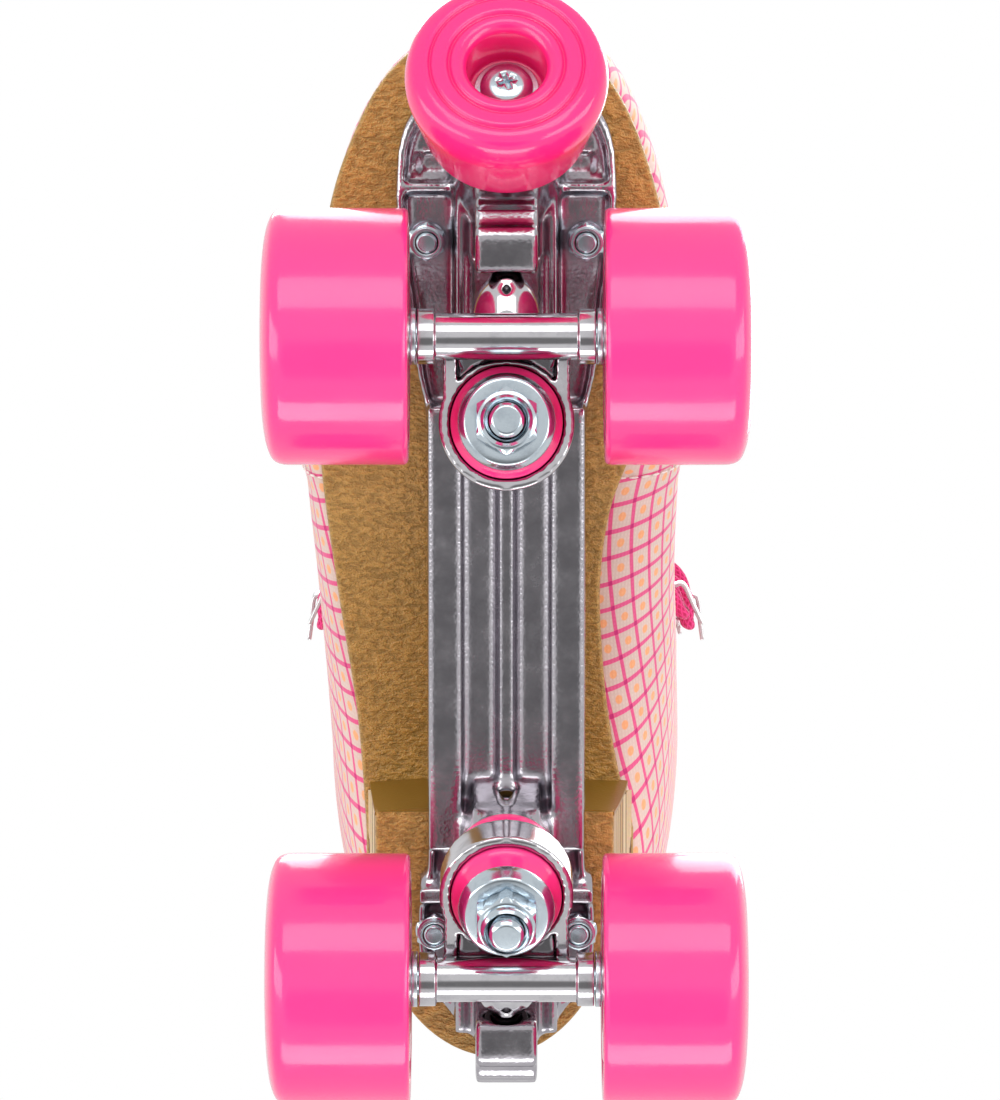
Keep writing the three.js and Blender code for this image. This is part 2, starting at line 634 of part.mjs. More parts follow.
function plateBody() {
  const rimDepth = 2.4;
  const rimWidth = 1.5;
  const boss = solid(rod(13.2, bossFace, beyond / 4, 20).applyMatrix4(kingpinFrame));
  const pivotBlock = solid(block(-7.2, 7.2, -pivotReach - 15, -pivotReach + 2.4, pivotCentre.z - 7.4, plateTop - 1));
  const socket = solid(rod(pivotSocketRadius + gap, -12, pivotCupMouth + pivotCupDepth + pivotCupWall + gap)
    .applyMatrix4(pivotFrame));
  const spine = solid(block(-12, 12, -pivotReach - 8, ringForward, flangeBottom - 4.5, plateTop - 1));
  const kingpinHole = solid(rod(kingpinDiameter / 2 + gap, 0, beyond / 4).applyMatrix4(kingpinFrame));
  const headPocket = solid(rod(kingpinHeadRadius + 0.8, kingpinHeadLow - gap, beyond / 4)
    .applyMatrix4(kingpinFrame));
  const ends = [frontTruck, rearTruck];
  const at = (body) => ends.map((matrix) => solid(geometryOf(body).applyMatrix4(matrix)));
  const rails = [-1, 1].map((side) => solid(block(
    side > 0 ? railInnerX : -railOuterX,
    side > 0 ? railOuterX : -railInnerX,
    frontAxleY + 22,
    rearAxleY - 22,
    plateTop - railDepth,
    plateTop - 1,
  )));
  const nose = solid(rod(11.5, gap, beyond / 8).applyMatrix4(along(stopBase, stopDown.clone().negate())));
  const noseHole = solid(rod(stopScrewRadius + gap, -stopScrewLength - gap, 1).applyMatrix4(stopFrame));
  const windows = [-1, 1].map((side) => solid(block(
    side > 0 ? 13 : -21, side > 0 ? 21 : -13, frontAxleY - 37, frontAxleY - 30, 0, beyond,
  )));
  const body = union(
    solid(slab(plateOutline(0), flangeBottom, plateTop)),
    cut(
      solid(slab(plateOutline(0), flangeBottom - rimDepth, flangeBottom + 1)),
      solid(slab(plateOutline(rimWidth), 0, plateTop)),
      halfSpace(-beyond, beyond, frontAxleY + 20, beyond),
    ),
    solid(block(-2, 2, frontAxleY + 20, rearAxleY - 20, flangeBottom - 3, plateTop - 1)),
    ...rails,
    nose,
    ...at(boss),
    ...at(pivotBlock),
    ...at(spine),
  );
  return cut(
    body,
    halfSpace(-beyond, beyond, -beyond, beyond, plateTop, beyond),
    noseHole,
    ...windows,
    ...at(socket),
    ...at(kingpinHole),
    ...at(headPocket),
    ...boltHoles,
  );
}
part(skate, "plate", plateBody(), castAluminium);

// ---- Sole and heel ----
const breastY = 46 * lengthScale;
const heelArcY = 68 * lengthScale;
const heelRearY = bootLength - 142 * lengthScale;

// A heel outline, straight at the sides and round at the back.
function heelOutline(lateral, medial, rear, start) {
  const points = [[medial, start]];
  const steps = 12;
  for (let k = 0; k <= steps; k++) {
    const turn = (Math.PI * k) / steps;
    points.push([
      (medial - lateral) / 2 + ((medial + lateral) / 2) * Math.cos(turn),
      heelArcY + (rear - heelArcY) * Math.sin(turn),
    ]);
  }
  return [...points, [-lateral, start]].map(([x, y]) => [x * widthScale, y]);
}

// The sole's edge ahead of the heel, from its lateral side round the toe to its medial side.
const soleEdge = new THREE.SplineCurve([
  [-33.5, 56], [-35.5, 27], [-39.5, -3], [-43.2, -35], [-44.5, -65], [-41.5, -95], [-35.7, -114], [-27.4, -129],
  [-15, -138.6], [-2, -142], [10, -139.4], [21, -131], [29, -118.4], [35.8, -97.6], [39, -75], [36, -57],
  [28.6, -37.8], [24.3, -25], [22.2, -8], [22.6, 8], [24.2, 26], [27, 42], [30.5, 56],
].map(([x, y]) => new THREE.Vector2(x * widthScale, y * lengthScale)));
const soleOutline = [
  ...heelOutline(33.5, 30.5, heelRearY + 0.6, 58 * lengthScale).slice(1, -1),
  ...soleEdge.getPoints(44).map(({ x, y }) => [x, y]),
];
const outsoleTop = gap;
const outsoleLow = outsoleTop + outsoleThickness;

part(skate, "outsole", cut(
  solid(slab(soleOutline, 0, beyond)).intersect(band(outsoleTop, outsoleLow)),
  ...boltHoles,
), soleLeather);
const heelLiftTop = soleBottom + heelLiftThickness;
const heelBottom = heelOutline(31, 25.5, heelRearY - 0.5, breastY);
const heelTop = heelOutline(33, 30, heelRearY, breastY);
part(skate, "heel_lift", cut(solid(slab(heelBottom, soleBottom, heelLiftTop)), ...boltHoles), soleLeather);
const heelRings = [[heelBottom, heelLiftTop + gap], [heelTop, ballZ + heelRise]].map(([outline, z]) =>
  outline.map(([x, y]) => new THREE.Vector3(x, y, z)));
part(skate, "heel_block", cut(
  solid(loft(heelRings)).intersect(solid(sideSlab([
    [-beyond, 0], ...soleLine(outsoleLow + gap), [beyond, ballZ], [beyond, 0],
  ], -beyond, beyond))),
  ...boltHoles,
), stackedLeather);

// ---- Upper ----
// Throat of the boot: how far along the sections, and its half-width there.
const throat = [[5.9, 5], [7, 12], [9, 20], [11, 33], [13, 38], [15, 38.5], [16, 38.5]];
const throatReach = 15;

function throatSlot(widen) {
  return solid(loft(throat.map(([place, half]) => {
    const { point, normal } = surfacePoint(place, Math.PI - 0.05, "medial");
    const outward = new THREE.Vector3(0, normal.y, normal.z).normalize();
    const [front, back] = [throatReach, -throatReach].map((reach) => point.clone().addScaledVector(outward, reach));
    return [[half + widen, front], [half + widen, back], [-half - widen, back], [-half - widen, front]]
      .map(([x, end]) => new THREE.Vector3(x * widthScale, end.y, end.z));
  })));
}

const collar = sectionAt(collarSection);
const belowCollar = solid(sideSlab([
  [-beyond, -beyond],
  [-beyond, collar.top.z],
  [collar.top.y, collar.top.z],
  [collar.low.y, collar.low.z],
  [beyond, collar.low.z],
  [beyond, -beyond],
], -beyond, beyond));
const innerForm = bootForm(upperWall);
const shell = cut(bootForm(0).intersect(belowCollar), innerForm, throatSlot(0), ...boltHoles);
const vampSeamY = -40 * lengthScale;
part(skate, "vamp", shell.intersect(halfSpace(-beyond, beyond, -beyond, vampSeamY - gap / 2)), printedFabric);
part(skate, "quarter_medial",
  shell.intersect(halfSpace(gap / 2, beyond, vampSeamY + gap / 2, beyond)), printedFabric);
part(skate, "quarter_lateral",
  shell.intersect(halfSpace(-beyond, -gap / 2, vampSeamY + gap / 2, beyond)), printedFabric);

const backstayHalf = 9;
const backstayThickness = 1.4;
part(skate, "backstay", cut(
  bootForm(-gap - backstayThickness, 9).intersect(belowCollar),
  bootForm(-gap, 9),
).intersect(halfSpace(-backstayHalf, backstayHalf, 80 * lengthScale, beyond, ballZ + heelRise + 8, beyond)),
printedFabric);

// The foot's outline inside the boot, a margin in from the flat of each section.
function footOutline(margin) {
  const edge = (side, sign) => [1.5, 2, 3, 4, 5, 6, 7, 8, 9, 9.4, 9.7].map((place) => {
    const { low, half, flat } = sectionAt(place);
    return [sign * (half[side] * flat[side] - margin), low.y];
  });
  return [...edge("medial", 1), ...edge("lateral", -1).reverse()];
}
const boardMargin = 4;
const footbedMargin = 3.5;
part(skate, "insole_board", cut(
  solid(slab(footOutline(boardMargin), 0, beyond)).intersect(band(-insoleHigh, -insoleLow)),
  ...boltHoles,
), fibreboard);
part(skate, "footbed", cut(
  solid(slab(footOutline(footbedMargin), 0, beyond)).intersect(band(-footbedHigh, -footbedLow)),
  ...headHoles,
), lining);

const liningInset = upperWall + 2 * gap;
const footRoom = bootForm(liningInset, 4);
const tongueOverlap = 4;
part(skate, "tongue", cut(footRoom, bootForm(liningInset + tongueThickness, 3))
  .intersect(throatSlot(tongueOverlap)), printedFabric);
const padDepth = 46;
part(skate, "collar_pad", cut(
  footRoom.intersect(belowCollar),
  bootForm(liningInset + padThickness, 4),
  throatSlot(tongueOverlap + gap),
).intersect(halfSpace(-beyond, beyond, collar.top.y - 20, beyond, collar.low.z - padDepth, beyond)), lining);

// ---- Speed hooks ----
const hookWidth = 6;
const hookInset = 10;             // behind the edge of the throat
const hookLift = 1.2;
const hookPlaces = [["lower", 10.9], ["upper", 12.5]];
const hookShape = [
  [-5, 0], [5, 0], [5, 1], [-3.6, 1], [-3.4, 5.6], [-2.6, 6.4], [8, 5], [8, 6.1], [-3.2, 7.6], [-4.6, 6.2],
];
const halfThroatAt = (place) => {
  const k = throat.findIndex(([start]) => start > place);
  return THREE.MathUtils.mapLinear(place, throat[k - 1][0], throat[k][0], throat[k - 1][1], throat[k][1]);
};

// A point behind the edge of the throat, an inset back along the boot's surface.
function besideThroat(place, side, inset) {
  let angle = frontAngle(place, halfThroatAt(place) * widthScale, side);
  let point = sectionPoint(sectionAt(place), angle, side);
  for (let travelled = 0; travelled < inset;) {
    angle -= 0.01;
    const next = sectionPoint(sectionAt(place), angle, side);
    travelled += next.distanceTo(point);
    point = next;
  }
  return surfacePoint(place, angle, side);
}

for (const side of ["medial", "lateral"]) {
  for (const [level, place] of hookPlaces) {
    const { point, normal, up } = besideThroat(place, side, hookInset);
    const back = up.clone().cross(normal).normalize();
    if (back.y < 0) back.negate();
    const width = back.clone().cross(normal);
    const frame = new THREE.Matrix4().makeBasis(back, normal, width).setPosition(
      point.clone().addScaledVector(normal, hookLift));
    part(skate, `hook_${side}_${level}`,
      slab(hookShape, -hookWidth / 2, hookWidth / 2).applyMatrix4(frame), zincSteel);
  }
}

// ---- Lace ----
// One lace, crossing from side to side up the throat. It lies a little off the boot at each eyelet and hook.
const eyeletPlaces = [6.7, 7.3, 7.9, 8.6, 9.4, 10.2];
const lacePlaces = [...eyeletPlaces, ...hookPlaces.map(([, place]) => place)];
const eyeletInset = 6;
const laceLift = laceRadius + 2;

// A point of the lace beside the throat, with a lift off the boot and a climb along it.
function lacePoint(place, side, inset, lift, climb) {
  const { point, normal, up } = besideThroat(place, side, inset);
  return point.addScaledVector(normal, lift).addScaledVector(up, climb);
}

// At an eyelet the lace has one point; at a hook it runs up behind the riser, under the curl.
function laceAnchors(level, side) {
  const place = lacePlaces[level];
  if (level < eyeletPlaces.length) return [lacePoint(place, side, eyeletInset, laceLift, 0)];
  const underCurl = [-hookWidth, 0, hookWidth].map((climb) =>
    lacePoint(place, side, hookInset + 1.6, hookLift + 3, climb));
  const overEdge = [-hookWidth - 3, hookWidth + 3].map((climb) => lacePoint(place, side, 1, laceLift + 1.5, climb));
  return [overEdge[0], ...underCurl, overEdge[1]];
}

function laceCrossing(place, extra) {
  const { point, normal } = surfacePoint(place, Math.PI - 0.05, "medial");
  return new THREE.Vector3(0, point.y, point.z).addScaledVector(normal, laceLift + extra);
}

function laceStrand(startSide, extra) {
  const points = [];
  let side = startSide;
  lacePlaces.forEach((place, level) => {
    points.push(...laceAnchors(level, side));
    if (level + 1 < lacePlaces.length) points.push(laceCrossing((place + lacePlaces[level + 1]) / 2, extra));
    side = side === "medial" ? "lateral" : "medial";
  });
  return points;
}
const laceEnd = (x) =>
  laceCrossing(lacePlaces[lacePlaces.length - 1] + 1.1, 1).add(new THREE.Vector3(x, 0, 0));
const lacePath = new THREE.CatmullRomCurve3([
  laceEnd(-6), ...laceStrand("medial", 0).reverse(), ...laceStrand("lateral", 2 * laceRadius + 1.4), laceEnd(6),
], false, "centripetal");
const laceSides = 6;
const laceSection = new THREE.Shape(Array.from({ length: laceSides }, (_, k) => {
  const turn = (2 * Math.PI * k) / laceSides;
  return new THREE.Vector2(laceRadius * Math.cos(turn), laceRadius * Math.sin(turn));
}));
part(skate, "lace", new THREE.ExtrudeGeometry(laceSection, { steps: 110, extrudePath: lacePath }), laceFabric);

// ---- Centred over its footprint, standing on its wheels ----
skate.updateMatrixWorld(true);
const extent = new THREE.Box3().setFromObject(skate, true);
skate.position.y = -(extent.min.y + extent.max.y) / 2;
const rollerSkate = new THREE.Group();
rollerSkate.add(skate);

export default rollerSkate;
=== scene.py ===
import math

import bmesh
import bpy
import numpy as np
from mathutils import Matrix, Vector


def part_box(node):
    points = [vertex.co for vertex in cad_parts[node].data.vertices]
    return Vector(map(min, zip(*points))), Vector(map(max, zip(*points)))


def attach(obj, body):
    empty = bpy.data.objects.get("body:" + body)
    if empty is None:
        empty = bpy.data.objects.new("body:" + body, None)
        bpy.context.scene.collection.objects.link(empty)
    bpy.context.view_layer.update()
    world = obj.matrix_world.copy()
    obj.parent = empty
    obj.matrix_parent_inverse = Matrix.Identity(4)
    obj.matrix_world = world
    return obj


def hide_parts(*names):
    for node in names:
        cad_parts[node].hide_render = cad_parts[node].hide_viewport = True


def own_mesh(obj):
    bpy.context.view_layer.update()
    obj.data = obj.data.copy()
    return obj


# Quad roller skate for the right foot, toe towards -Y, inner side of the foot on +X.
# It is put together here from the wheels up: running gear, plate, sole and heel, then the boot and its lace.
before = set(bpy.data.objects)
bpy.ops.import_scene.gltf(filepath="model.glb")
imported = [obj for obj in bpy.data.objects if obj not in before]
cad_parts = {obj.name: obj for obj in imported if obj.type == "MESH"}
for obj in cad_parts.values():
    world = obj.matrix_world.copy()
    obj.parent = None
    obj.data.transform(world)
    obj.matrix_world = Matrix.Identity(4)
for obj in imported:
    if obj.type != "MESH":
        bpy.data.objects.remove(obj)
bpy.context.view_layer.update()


# ---- Where everything is measured from ----
# The skate is laid out in millimetres from the floor under the middle of its wheelbase, which the axles give.
# The camera looks up from under the toe, so that the running gear is seen square on.
axle_middle = {end: sum(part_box(f"{end}_axle"), Vector()) / 2 for end in ("front", "rear")}
layout_origin = Vector((0, (axle_middle["front"].y + axle_middle["rear"].y) / 2, 0))
half_wheelbase = (axle_middle["rear"].y - axle_middle["front"].y) * 500
axle_z = axle_middle["front"].z * 1000


def placed(point):
    """A layout point in mm, as a place in the frame."""
    return Vector(point) * 0.001 + layout_origin


def shown(name, data):
    """A new object in the scene."""
    made = bpy.data.objects.new(name, data)
    bpy.context.scene.collection.objects.link(made)
    return made


view_pitch, view_distance = math.radians(11.5), 1.5
view_middle = placed((-1.484, -23.58, 40))
look = Vector((0, math.sin(view_pitch), math.cos(view_pitch)))
view_up = Vector((0, -look.z, look.y))
camera_data = bpy.data.cameras.new("camera")
camera_data.lens = 214.43
camera_data.sensor_width = 36
camera_data.clip_start, camera_data.clip_end = 0.1, 20
camera = shown("camera", camera_data)
turn = Matrix((Vector((1, 0, 0)), view_up, -look)).transposed().to_4x4()
camera.matrix_world = Matrix.Translation(view_middle - view_distance * look) @ turn
bpy.context.scene.camera = camera


# ---- Wheels ----
# Four 58 mm wheels of cast polyurethane, poured round a hub and trued on a lathe, with a rolled outer lip.
# Urethane is dense and slightly translucent, so it is glossy; its colour is painted deeper where its surface turns away
# from the view, as painted shade at the edges.
def colour(hex_value, alpha=1.0):
    """An sRGB hex colour as linear light."""
    parts = [(hex_value >> shift & 255) / 255 for shift in (16, 8, 0)]
    return [p / 12.92 if p <= 0.04045 else ((p + 0.055) / 1.055) ** 2.4 for p in parts] + [alpha]


def add(tree, kind, inputs={}, **settings):
    """Adds a node: settings go on the node, and inputs take a value or the output that feeds them."""
    made = tree.nodes.new(kind)
    for name, value in settings.items():
        setattr(made, name, value)
    for name, value in inputs.items():
        if isinstance(value, bpy.types.NodeSocket):
            tree.links.new(value, made.inputs[name])
        else:
            made.inputs[name].default_value = value
    return made


def on_object(tree):
    """Places on the object, in metres."""
    return add(tree, "ShaderNodeTexCoord").outputs["Object"]


def noise(tree, where, across, detail=2.0, **more):
    """Cloudy noise from 0 to 1, with lumps a set distance across."""
    return add(tree, "ShaderNodeTexNoise",
               {"Vector": where, "Scale": 1 / across, "Detail": detail, **more}).outputs["Fac"]


def calc(tree, operation, *values):
    return add(tree, "ShaderNodeMath", dict(enumerate(values)), operation=operation).outputs[0]


def ranged(tree, value, from_low, from_high, to_low=0.0, to_high=1.0):
    return add(tree, "ShaderNodeMapRange", {"Value": value, "From Min": from_low, "From Max": from_high,
                                            "To Min": to_low, "To Max": to_high}).outputs[0]


def blend(tree, share, first, second, **settings):
    """Mixes two colours, each a hex value or an output, going to the second as the share rises."""
    ends = [colour(end) if isinstance(end, int) else end for end in (first, second)]
    return add(tree, "ShaderNodeMix", {"Factor": share, 6: ends[0], 7: ends[1]}, data_type="RGBA",
               **settings).outputs[2]


def finish(name, **shader):
    """An empty finish and its node tree, with the values that hold all over the surface."""
    made = bpy.data.materials.new(name)
    made.use_nodes = True
    for socket, value in shader.items():
        made.node_tree.nodes["Principled BSDF"].inputs[socket.replace("_", " ")].default_value = value
    return made, made.node_tree


def dressed(made, tint, height, strength, distance, rough=None, **more):
    """Gives a finish its colour, the height of its relief and its roughness, and hands it back."""
    tree = made.node_tree
    bump = add(tree, "ShaderNodeBump", {"Height": height, "Strength": strength, "Distance": distance, **more})
    for socket, source in (("Base Color", tint), ("Roughness", rough), ("Normal", bump.outputs[0])):
        if source:
            tree.links.new(source, tree.nodes["Principled BSDF"].inputs[socket])
    return made


def softened(corners):
    """Rounds an outline's corners: each is (a, b) or (a, b, how far along its sides the curve starts)."""
    outline, steps = [], 5
    for k, corner in enumerate(corners):
        point, size = Vector(corner[:2]), (corner[2] if len(corner) > 2 else 0)
        if not size:
            outline.append(tuple(point))
            continue
        to_last = Vector(corners[k - 1][:2]) - point
        to_next = Vector(corners[(k + 1) % len(corners)][:2]) - point
        start = point + to_last.normalized() * min(size, to_last.length / 2)
        end = point + to_next.normalized() * min(size, to_next.length / 2)
        for step in range(steps + 1):
            share = step / steps
            outline.append(tuple(start.lerp(point, share).lerp(point.lerp(end, share), share)))
    return outline


def ring_faces(rows, count, closed=False):
    """The faces between rings of points, from each ring to the next; closed joins the last to the first."""
    return [(r * count + c, r * count + (c + 1) % count, (r + 1) % rows * count + (c + 1) % count,
             (r + 1) % rows * count + c) for r in range(rows if closed else rows - 1) for c in range(count)]


def turned(profile, segments=96, flats=0, thread=None):
    """Points and faces of a body turned about Z from [radius, height] corners. With flats, its sides are a
    hexagon of that width across; with a thread (pitch, depth, low, high), a groove winds round it between
    those distances from Z 0, on both sides."""
    closed = profile[0][0] > 0
    rows = softened(profile)
    if thread:
        pitch, depth, low, high = thread
        fine = []
        for (r0, h0), (r1, h1) in zip(rows, rows[1:] + rows[:1]):
            fine.append((r0, h0))
            if abs(r1 - r0) < 0.01 and abs(h1 - h0) > pitch * 2:
                steps = max(int(abs(h1 - h0) / pitch * 6), 1)
                fine += [(r0, h0 + (h1 - h0) * k / steps) for k in range(1, steps)]
        rows = fine if closed else fine[:-1] + [rows[-1]]
    turns = np.arange(segments) * 2 * math.pi / segments
    points = np.zeros((len(rows), segments, 3))
    for row, (radius, height) in enumerate(rows):
        reach = np.full(segments, radius, float)
        if flats:
            reach = np.minimum(reach, flats / 2 / np.cos((turns + math.pi / 6) % (math.pi / 3) - math.pi / 6))
        if thread and low < abs(height) < high:
            wave = ((height - pitch * turns / (2 * math.pi)) / pitch) % 1
            reach = reach - depth * np.abs(2 * wave - 1)
        points[row] = np.stack([reach * np.cos(turns), reach * np.sin(turns), np.full(segments, height)], 1)
    return points.reshape(-1, 3), ring_faces(len(rows), segments, closed)


def moved(points, matrix):
    points = np.asarray(points, float)
    matrix = np.array(matrix)
    return points @ matrix[:3, :3].T + matrix[:3, 3]


def set_in(shape, matrix):
    """A shape of points and faces, moved by a matrix."""
    return moved(shape[0], matrix), shape[1]


def shifted(shape, x, y, z=0):
    return shape[0] + [x, y, z], shape[1]


def joined(*shapes):
    """Several shapes of points and faces as one."""
    points, faces, start = [], [], 0
    for shape_points, shape_faces in shapes:
        points.append(np.asarray(shape_points, float).reshape(-1, 3))
        faces += [tuple(index + start for index in face) for face in shape_faces]
        start += len(points[-1])
    return np.concatenate(points), faces


def mesh_of(name, shape):
    """A mesh in the frame's metres from layout points and faces."""
    mesh = bpy.data.meshes.new(name)
    mesh.from_pydata((np.asarray(shape[0]) * 0.001 + np.array(layout_origin)).tolist(), [], shape[1])
    return mesh


def cleaned(mesh, crease):
    """Joins a mesh's doubled points, turns its faces outwards and shades it smooth up to a crease angle."""
    work = bmesh.new()
    work.from_mesh(mesh)
    bmesh.ops.remove_doubles(work, verts=work.verts, dist=2e-6)
    bmesh.ops.recalc_face_normals(work, faces=work.faces)
    work.to_mesh(mesh)
    work.free()
    mesh.shade_smooth()
    mesh.set_sharp_from_angle(angle=math.radians(crease))


def piece(name, shape, material, crease=38):
    """A piece of the skate from layout points and faces."""
    mesh = mesh_of(name, shape)
    cleaned(mesh, crease)
    mesh.materials.append(material)
    return shown(name, mesh)


def fitted(made, body, slot, *nodes):
    """Fixes a piece to the body it moves with, in place of the plain solids it stands for."""
    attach(made, body)
    if nodes:
        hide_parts(*nodes)
    return made


def cast_urethane(name, tint, deep):
    made, tree = finish(
        name, Roughness=0.2, IOR=1.5, Subsurface_Weight=0.12, Subsurface_Scale=0.004, Coat_Weight=0.35,
        Coat_Roughness=0.06, Subsurface_Radius=(1.0, 0.35, 0.4))
    where = on_object(tree)
    # Painted shade: the colour deepens where the surface turns away from the view, in clouds about 30 mm across. The
    # fine orange peel of the mould is 1.2 mm across.
    edge = add(tree, "ShaderNodeLayerWeight", {"Blend": 0.25}).outputs["Facing"]
    share = calc(tree, "MULTIPLY", edge, noise(tree, where, 0.03, 3.0))
    scuff = noise(tree, where, 0.012, 6.0)
    return dressed(made, blend(tree, share, tint, deep), noise(tree, where, 0.0012), 0.05, 0.0003,
                   ranged(tree, scuff, 0.35, 0.75, 0.14, 0.27))


wheel_urethane = cast_urethane("cast_urethane_wheel", 0xFF3C8B, 0xE81F70)
wheel_inner_x, wheel_width = 22.1, 33.2
tread, seat, hub_bore = 29, 11.3, 9
inboard_bearing, bearing_width = 1, 7
outboard_bearing = 17.1
wheel_profile = [
    (seat, 0.5, 0.4), (seat + 1.4, 0, 0.5), (18.6, 0, 0.8), (19.4, 0.5, 0.8), (24.6, 0.5, 0.8), (25.4, 0, 0.8),
    (tread, 0, 1.5), (tread, wheel_width - 3.1, 3.2), (25.4, wheel_width - 1.2, 2.6), (20, wheel_width - 0.3, 3),
    (14, wheel_width, 1.2), (12.2, wheel_width, 0.8), (seat, wheel_width - 1, 0.6),
    (seat, outboard_bearing - 0.3), (hub_bore, outboard_bearing - 0.3), (hub_bore, 8.3), (seat, 8.3),
]
wheel_frames = {
    (end, side): Matrix.Translation((sign * wheel_inner_x, way * half_wheelbase, axle_z))
    @ Matrix.Rotation(sign * math.pi / 2, 4, "Y")
    for end, way in (("front", -1), ("rear", 1)) for side, sign in (("medial", 1), ("lateral", -1))
}
for (end, side), wheel_frame in wheel_frames.items():
    fitted(piece(f"tyre_{end}_{side}", set_in(turned(wheel_profile, 144), wheel_frame), wheel_urethane),
           f"wheel_{end}_{side}", "pink_urethane", f"wheel_{end}_{side}")


# ---- Bearings ----
# Two 608 ball bearings in each wheel: ground steel races, and a pressed shield set into the gap between them.
# Ground steel is close to a mirror, and the shield is a little duller.
def plated_metal(name, tint, rough, grain=0.0004, wear=0x8C8C92):
    """Bright plated or ground metal with fine pores, and a darker film where it is handled least."""
    made, tree = finish(name, Metallic=1.0)
    where = on_object(tree)
    film = noise(tree, where, 0.006, 6.0, Roughness=0.6)
    mixed = blend(tree, ranged(tree, film, 0.5, 0.8, 0.0, 0.45), tint, wear)
    return dressed(made, mixed, noise(tree, where, grain), 0.06, 0.0001,
                   ranged(tree, film, 0.3, 0.8, rough * 0.7, rough * 1.6))


ground_steel = plated_metal("ground_bearing_steel", 0xD5D5D8, 0.14)
bearing_profile = [
    (4, 0, 0.3), (6, 0, 0.3), (6.2, 0.5), (9.2, 0.5), (9.4, 0, 0.2), (11, 0, 0.5), (11, 7, 0.5), (9.4, 7, 0.2),
    (9.2, 6.5), (6.2, 6.5), (6, 7, 0.3), (4, 7, 0.3),
]
for (end, side), wheel_frame in wheel_frames.items():
    for place, start in (("inboard", inboard_bearing), ("outboard", outboard_bearing)):
        bearing = shifted(turned(bearing_profile, 60), 0, 0, start)
        fitted(piece(f"races_{end}_{side}_{place}", set_in(bearing, wheel_frame), ground_steel),
               f"wheel_{end}_{side}", "polished_steel", f"bearing_{end}_{side}_{place}")


# ---- Trucks: hangers ----
# Each hanger is one casting: a ring for the cushions, two side ribs, a pivot arm with a dimpled boss, and a
# straight tube over the axle that is machined and plated bright. Plating leaves the fillets soft.
truck_frames = {
    "front": Matrix.Translation((0, -half_wheelbase, 0)),
    "rear": Matrix.Translation((0, half_wheelbase, 0)) @ Matrix.Rotation(math.pi, 4, "Z"),
}
kingpin_tilt = math.radians(12)
ring_centre = Vector((0, 20.6, axle_z + 4))
pivot_centre = Vector((0, -15, axle_z + 15.5))
kingpin_frame = Matrix.Translation(ring_centre) @ Matrix.Rotation(-kingpin_tilt, 4, "X")
pivot_direction = (pivot_centre - ring_centre).normalized()
pivot_frame = Matrix.Translation(pivot_centre) @ Vector((0, 0, 1)).rotation_difference(
    pivot_direction).to_matrix().to_4x4()
across = Matrix.Rotation(math.pi / 2, 4, "Y")


def prism(outline, low, high):
    """A flat outline raised from one height to another."""
    count = len(outline)
    points = [(x, y, z) for z in (low, high) for x, y in outline]
    faces = [tuple(range(count))[::-1], tuple(range(count, 2 * count))]
    faces += [(k, (k + 1) % count, count + (k + 1) % count, count + k) for k in range(count)]
    return np.array(points, float), faces


def side_prism(outline, left, right):
    """A side outline of (y, z) points, drawn out along X."""
    points, faces = prism(outline, left, right)
    return points[:, [2, 0, 1]], faces


def brick(x0, x1, y0, y1, z0, z1):
    return prism([(x0, y0), (x1, y0), (x1, y1), (x0, y1)], z0, z1)


def rod(radius, low, high, segments=64):
    return turned([(0, low), (radius, low), (radius, high), (0, high)], segments)


def cut_by(body, tool):
    """Takes one piece's shape out of another."""
    cutter = body.modifiers.new(tool.name, "BOOLEAN")
    cutter.operation, cutter.solver, cutter.object = "DIFFERENCE", "MANIFOLD", tool


def settled(made):
    """Makes a piece's modifiers part of its mesh."""
    mesh = bpy.data.meshes.new_from_object(made.evaluated_get(bpy.context.evaluated_depsgraph_get()))
    made.modifiers.clear()
    made.data = mesh
    return mesh


def shape_of(mesh):
    """A mesh's points and faces, back in the layout's millimetres."""
    return (np.array([(v.co - layout_origin) * 1000 for v in mesh.vertices]),
            [tuple(f.vertices) for f in mesh.polygons])


def cast(name, solids, hollows, grain, passes, material):
    """A casting: the solids melted together with soft fillets, after its holes and pockets are taken out."""
    body = piece(name, joined(*solids), material)
    melt = body.modifiers.new("melt", "REMESH")
    melt.mode, melt.voxel_size = "VOXEL", grain * 0.001
    tools = [piece(f"{name}_hollow_{k}", hollow, material) for k, hollow in enumerate(hollows)]
    for tool in tools:
        cut_by(body, tool)
    again = body.modifiers.new("skin", "REMESH")
    again.mode, again.voxel_size = "VOXEL", grain * 0.001
    relax = body.modifiers.new("relax", "SMOOTH")
    relax.factor, relax.iterations = 0.5, passes
    mesh = settled(body)
    mesh.shade_smooth()
    mesh.materials.clear()
    mesh.materials.append(material)
    for tool in tools:
        bpy.data.objects.remove(tool)
    return body


bright_plating = plated_metal("bright_plated_casting", 0xD2D0D4, 0.12, 0.0012)
tree = bright_plating.node_tree
tint_socket = tree.nodes["Principled BSDF"].inputs["Base Color"]
# Painted shade: the casting's colour goes greyer in its deep corners, where little of the room can be seen.
corner = add(tree, "ShaderNodeAmbientOcclusion", {"Distance": 0.014}, samples=6)
painted_corner_shade = blend(tree, ranged(tree, corner.outputs["AO"], 0.1, 0.7), 0x8C888E, tint_socket.links[0].from_socket)
tree.links.new(painted_corner_shade, tint_socket)

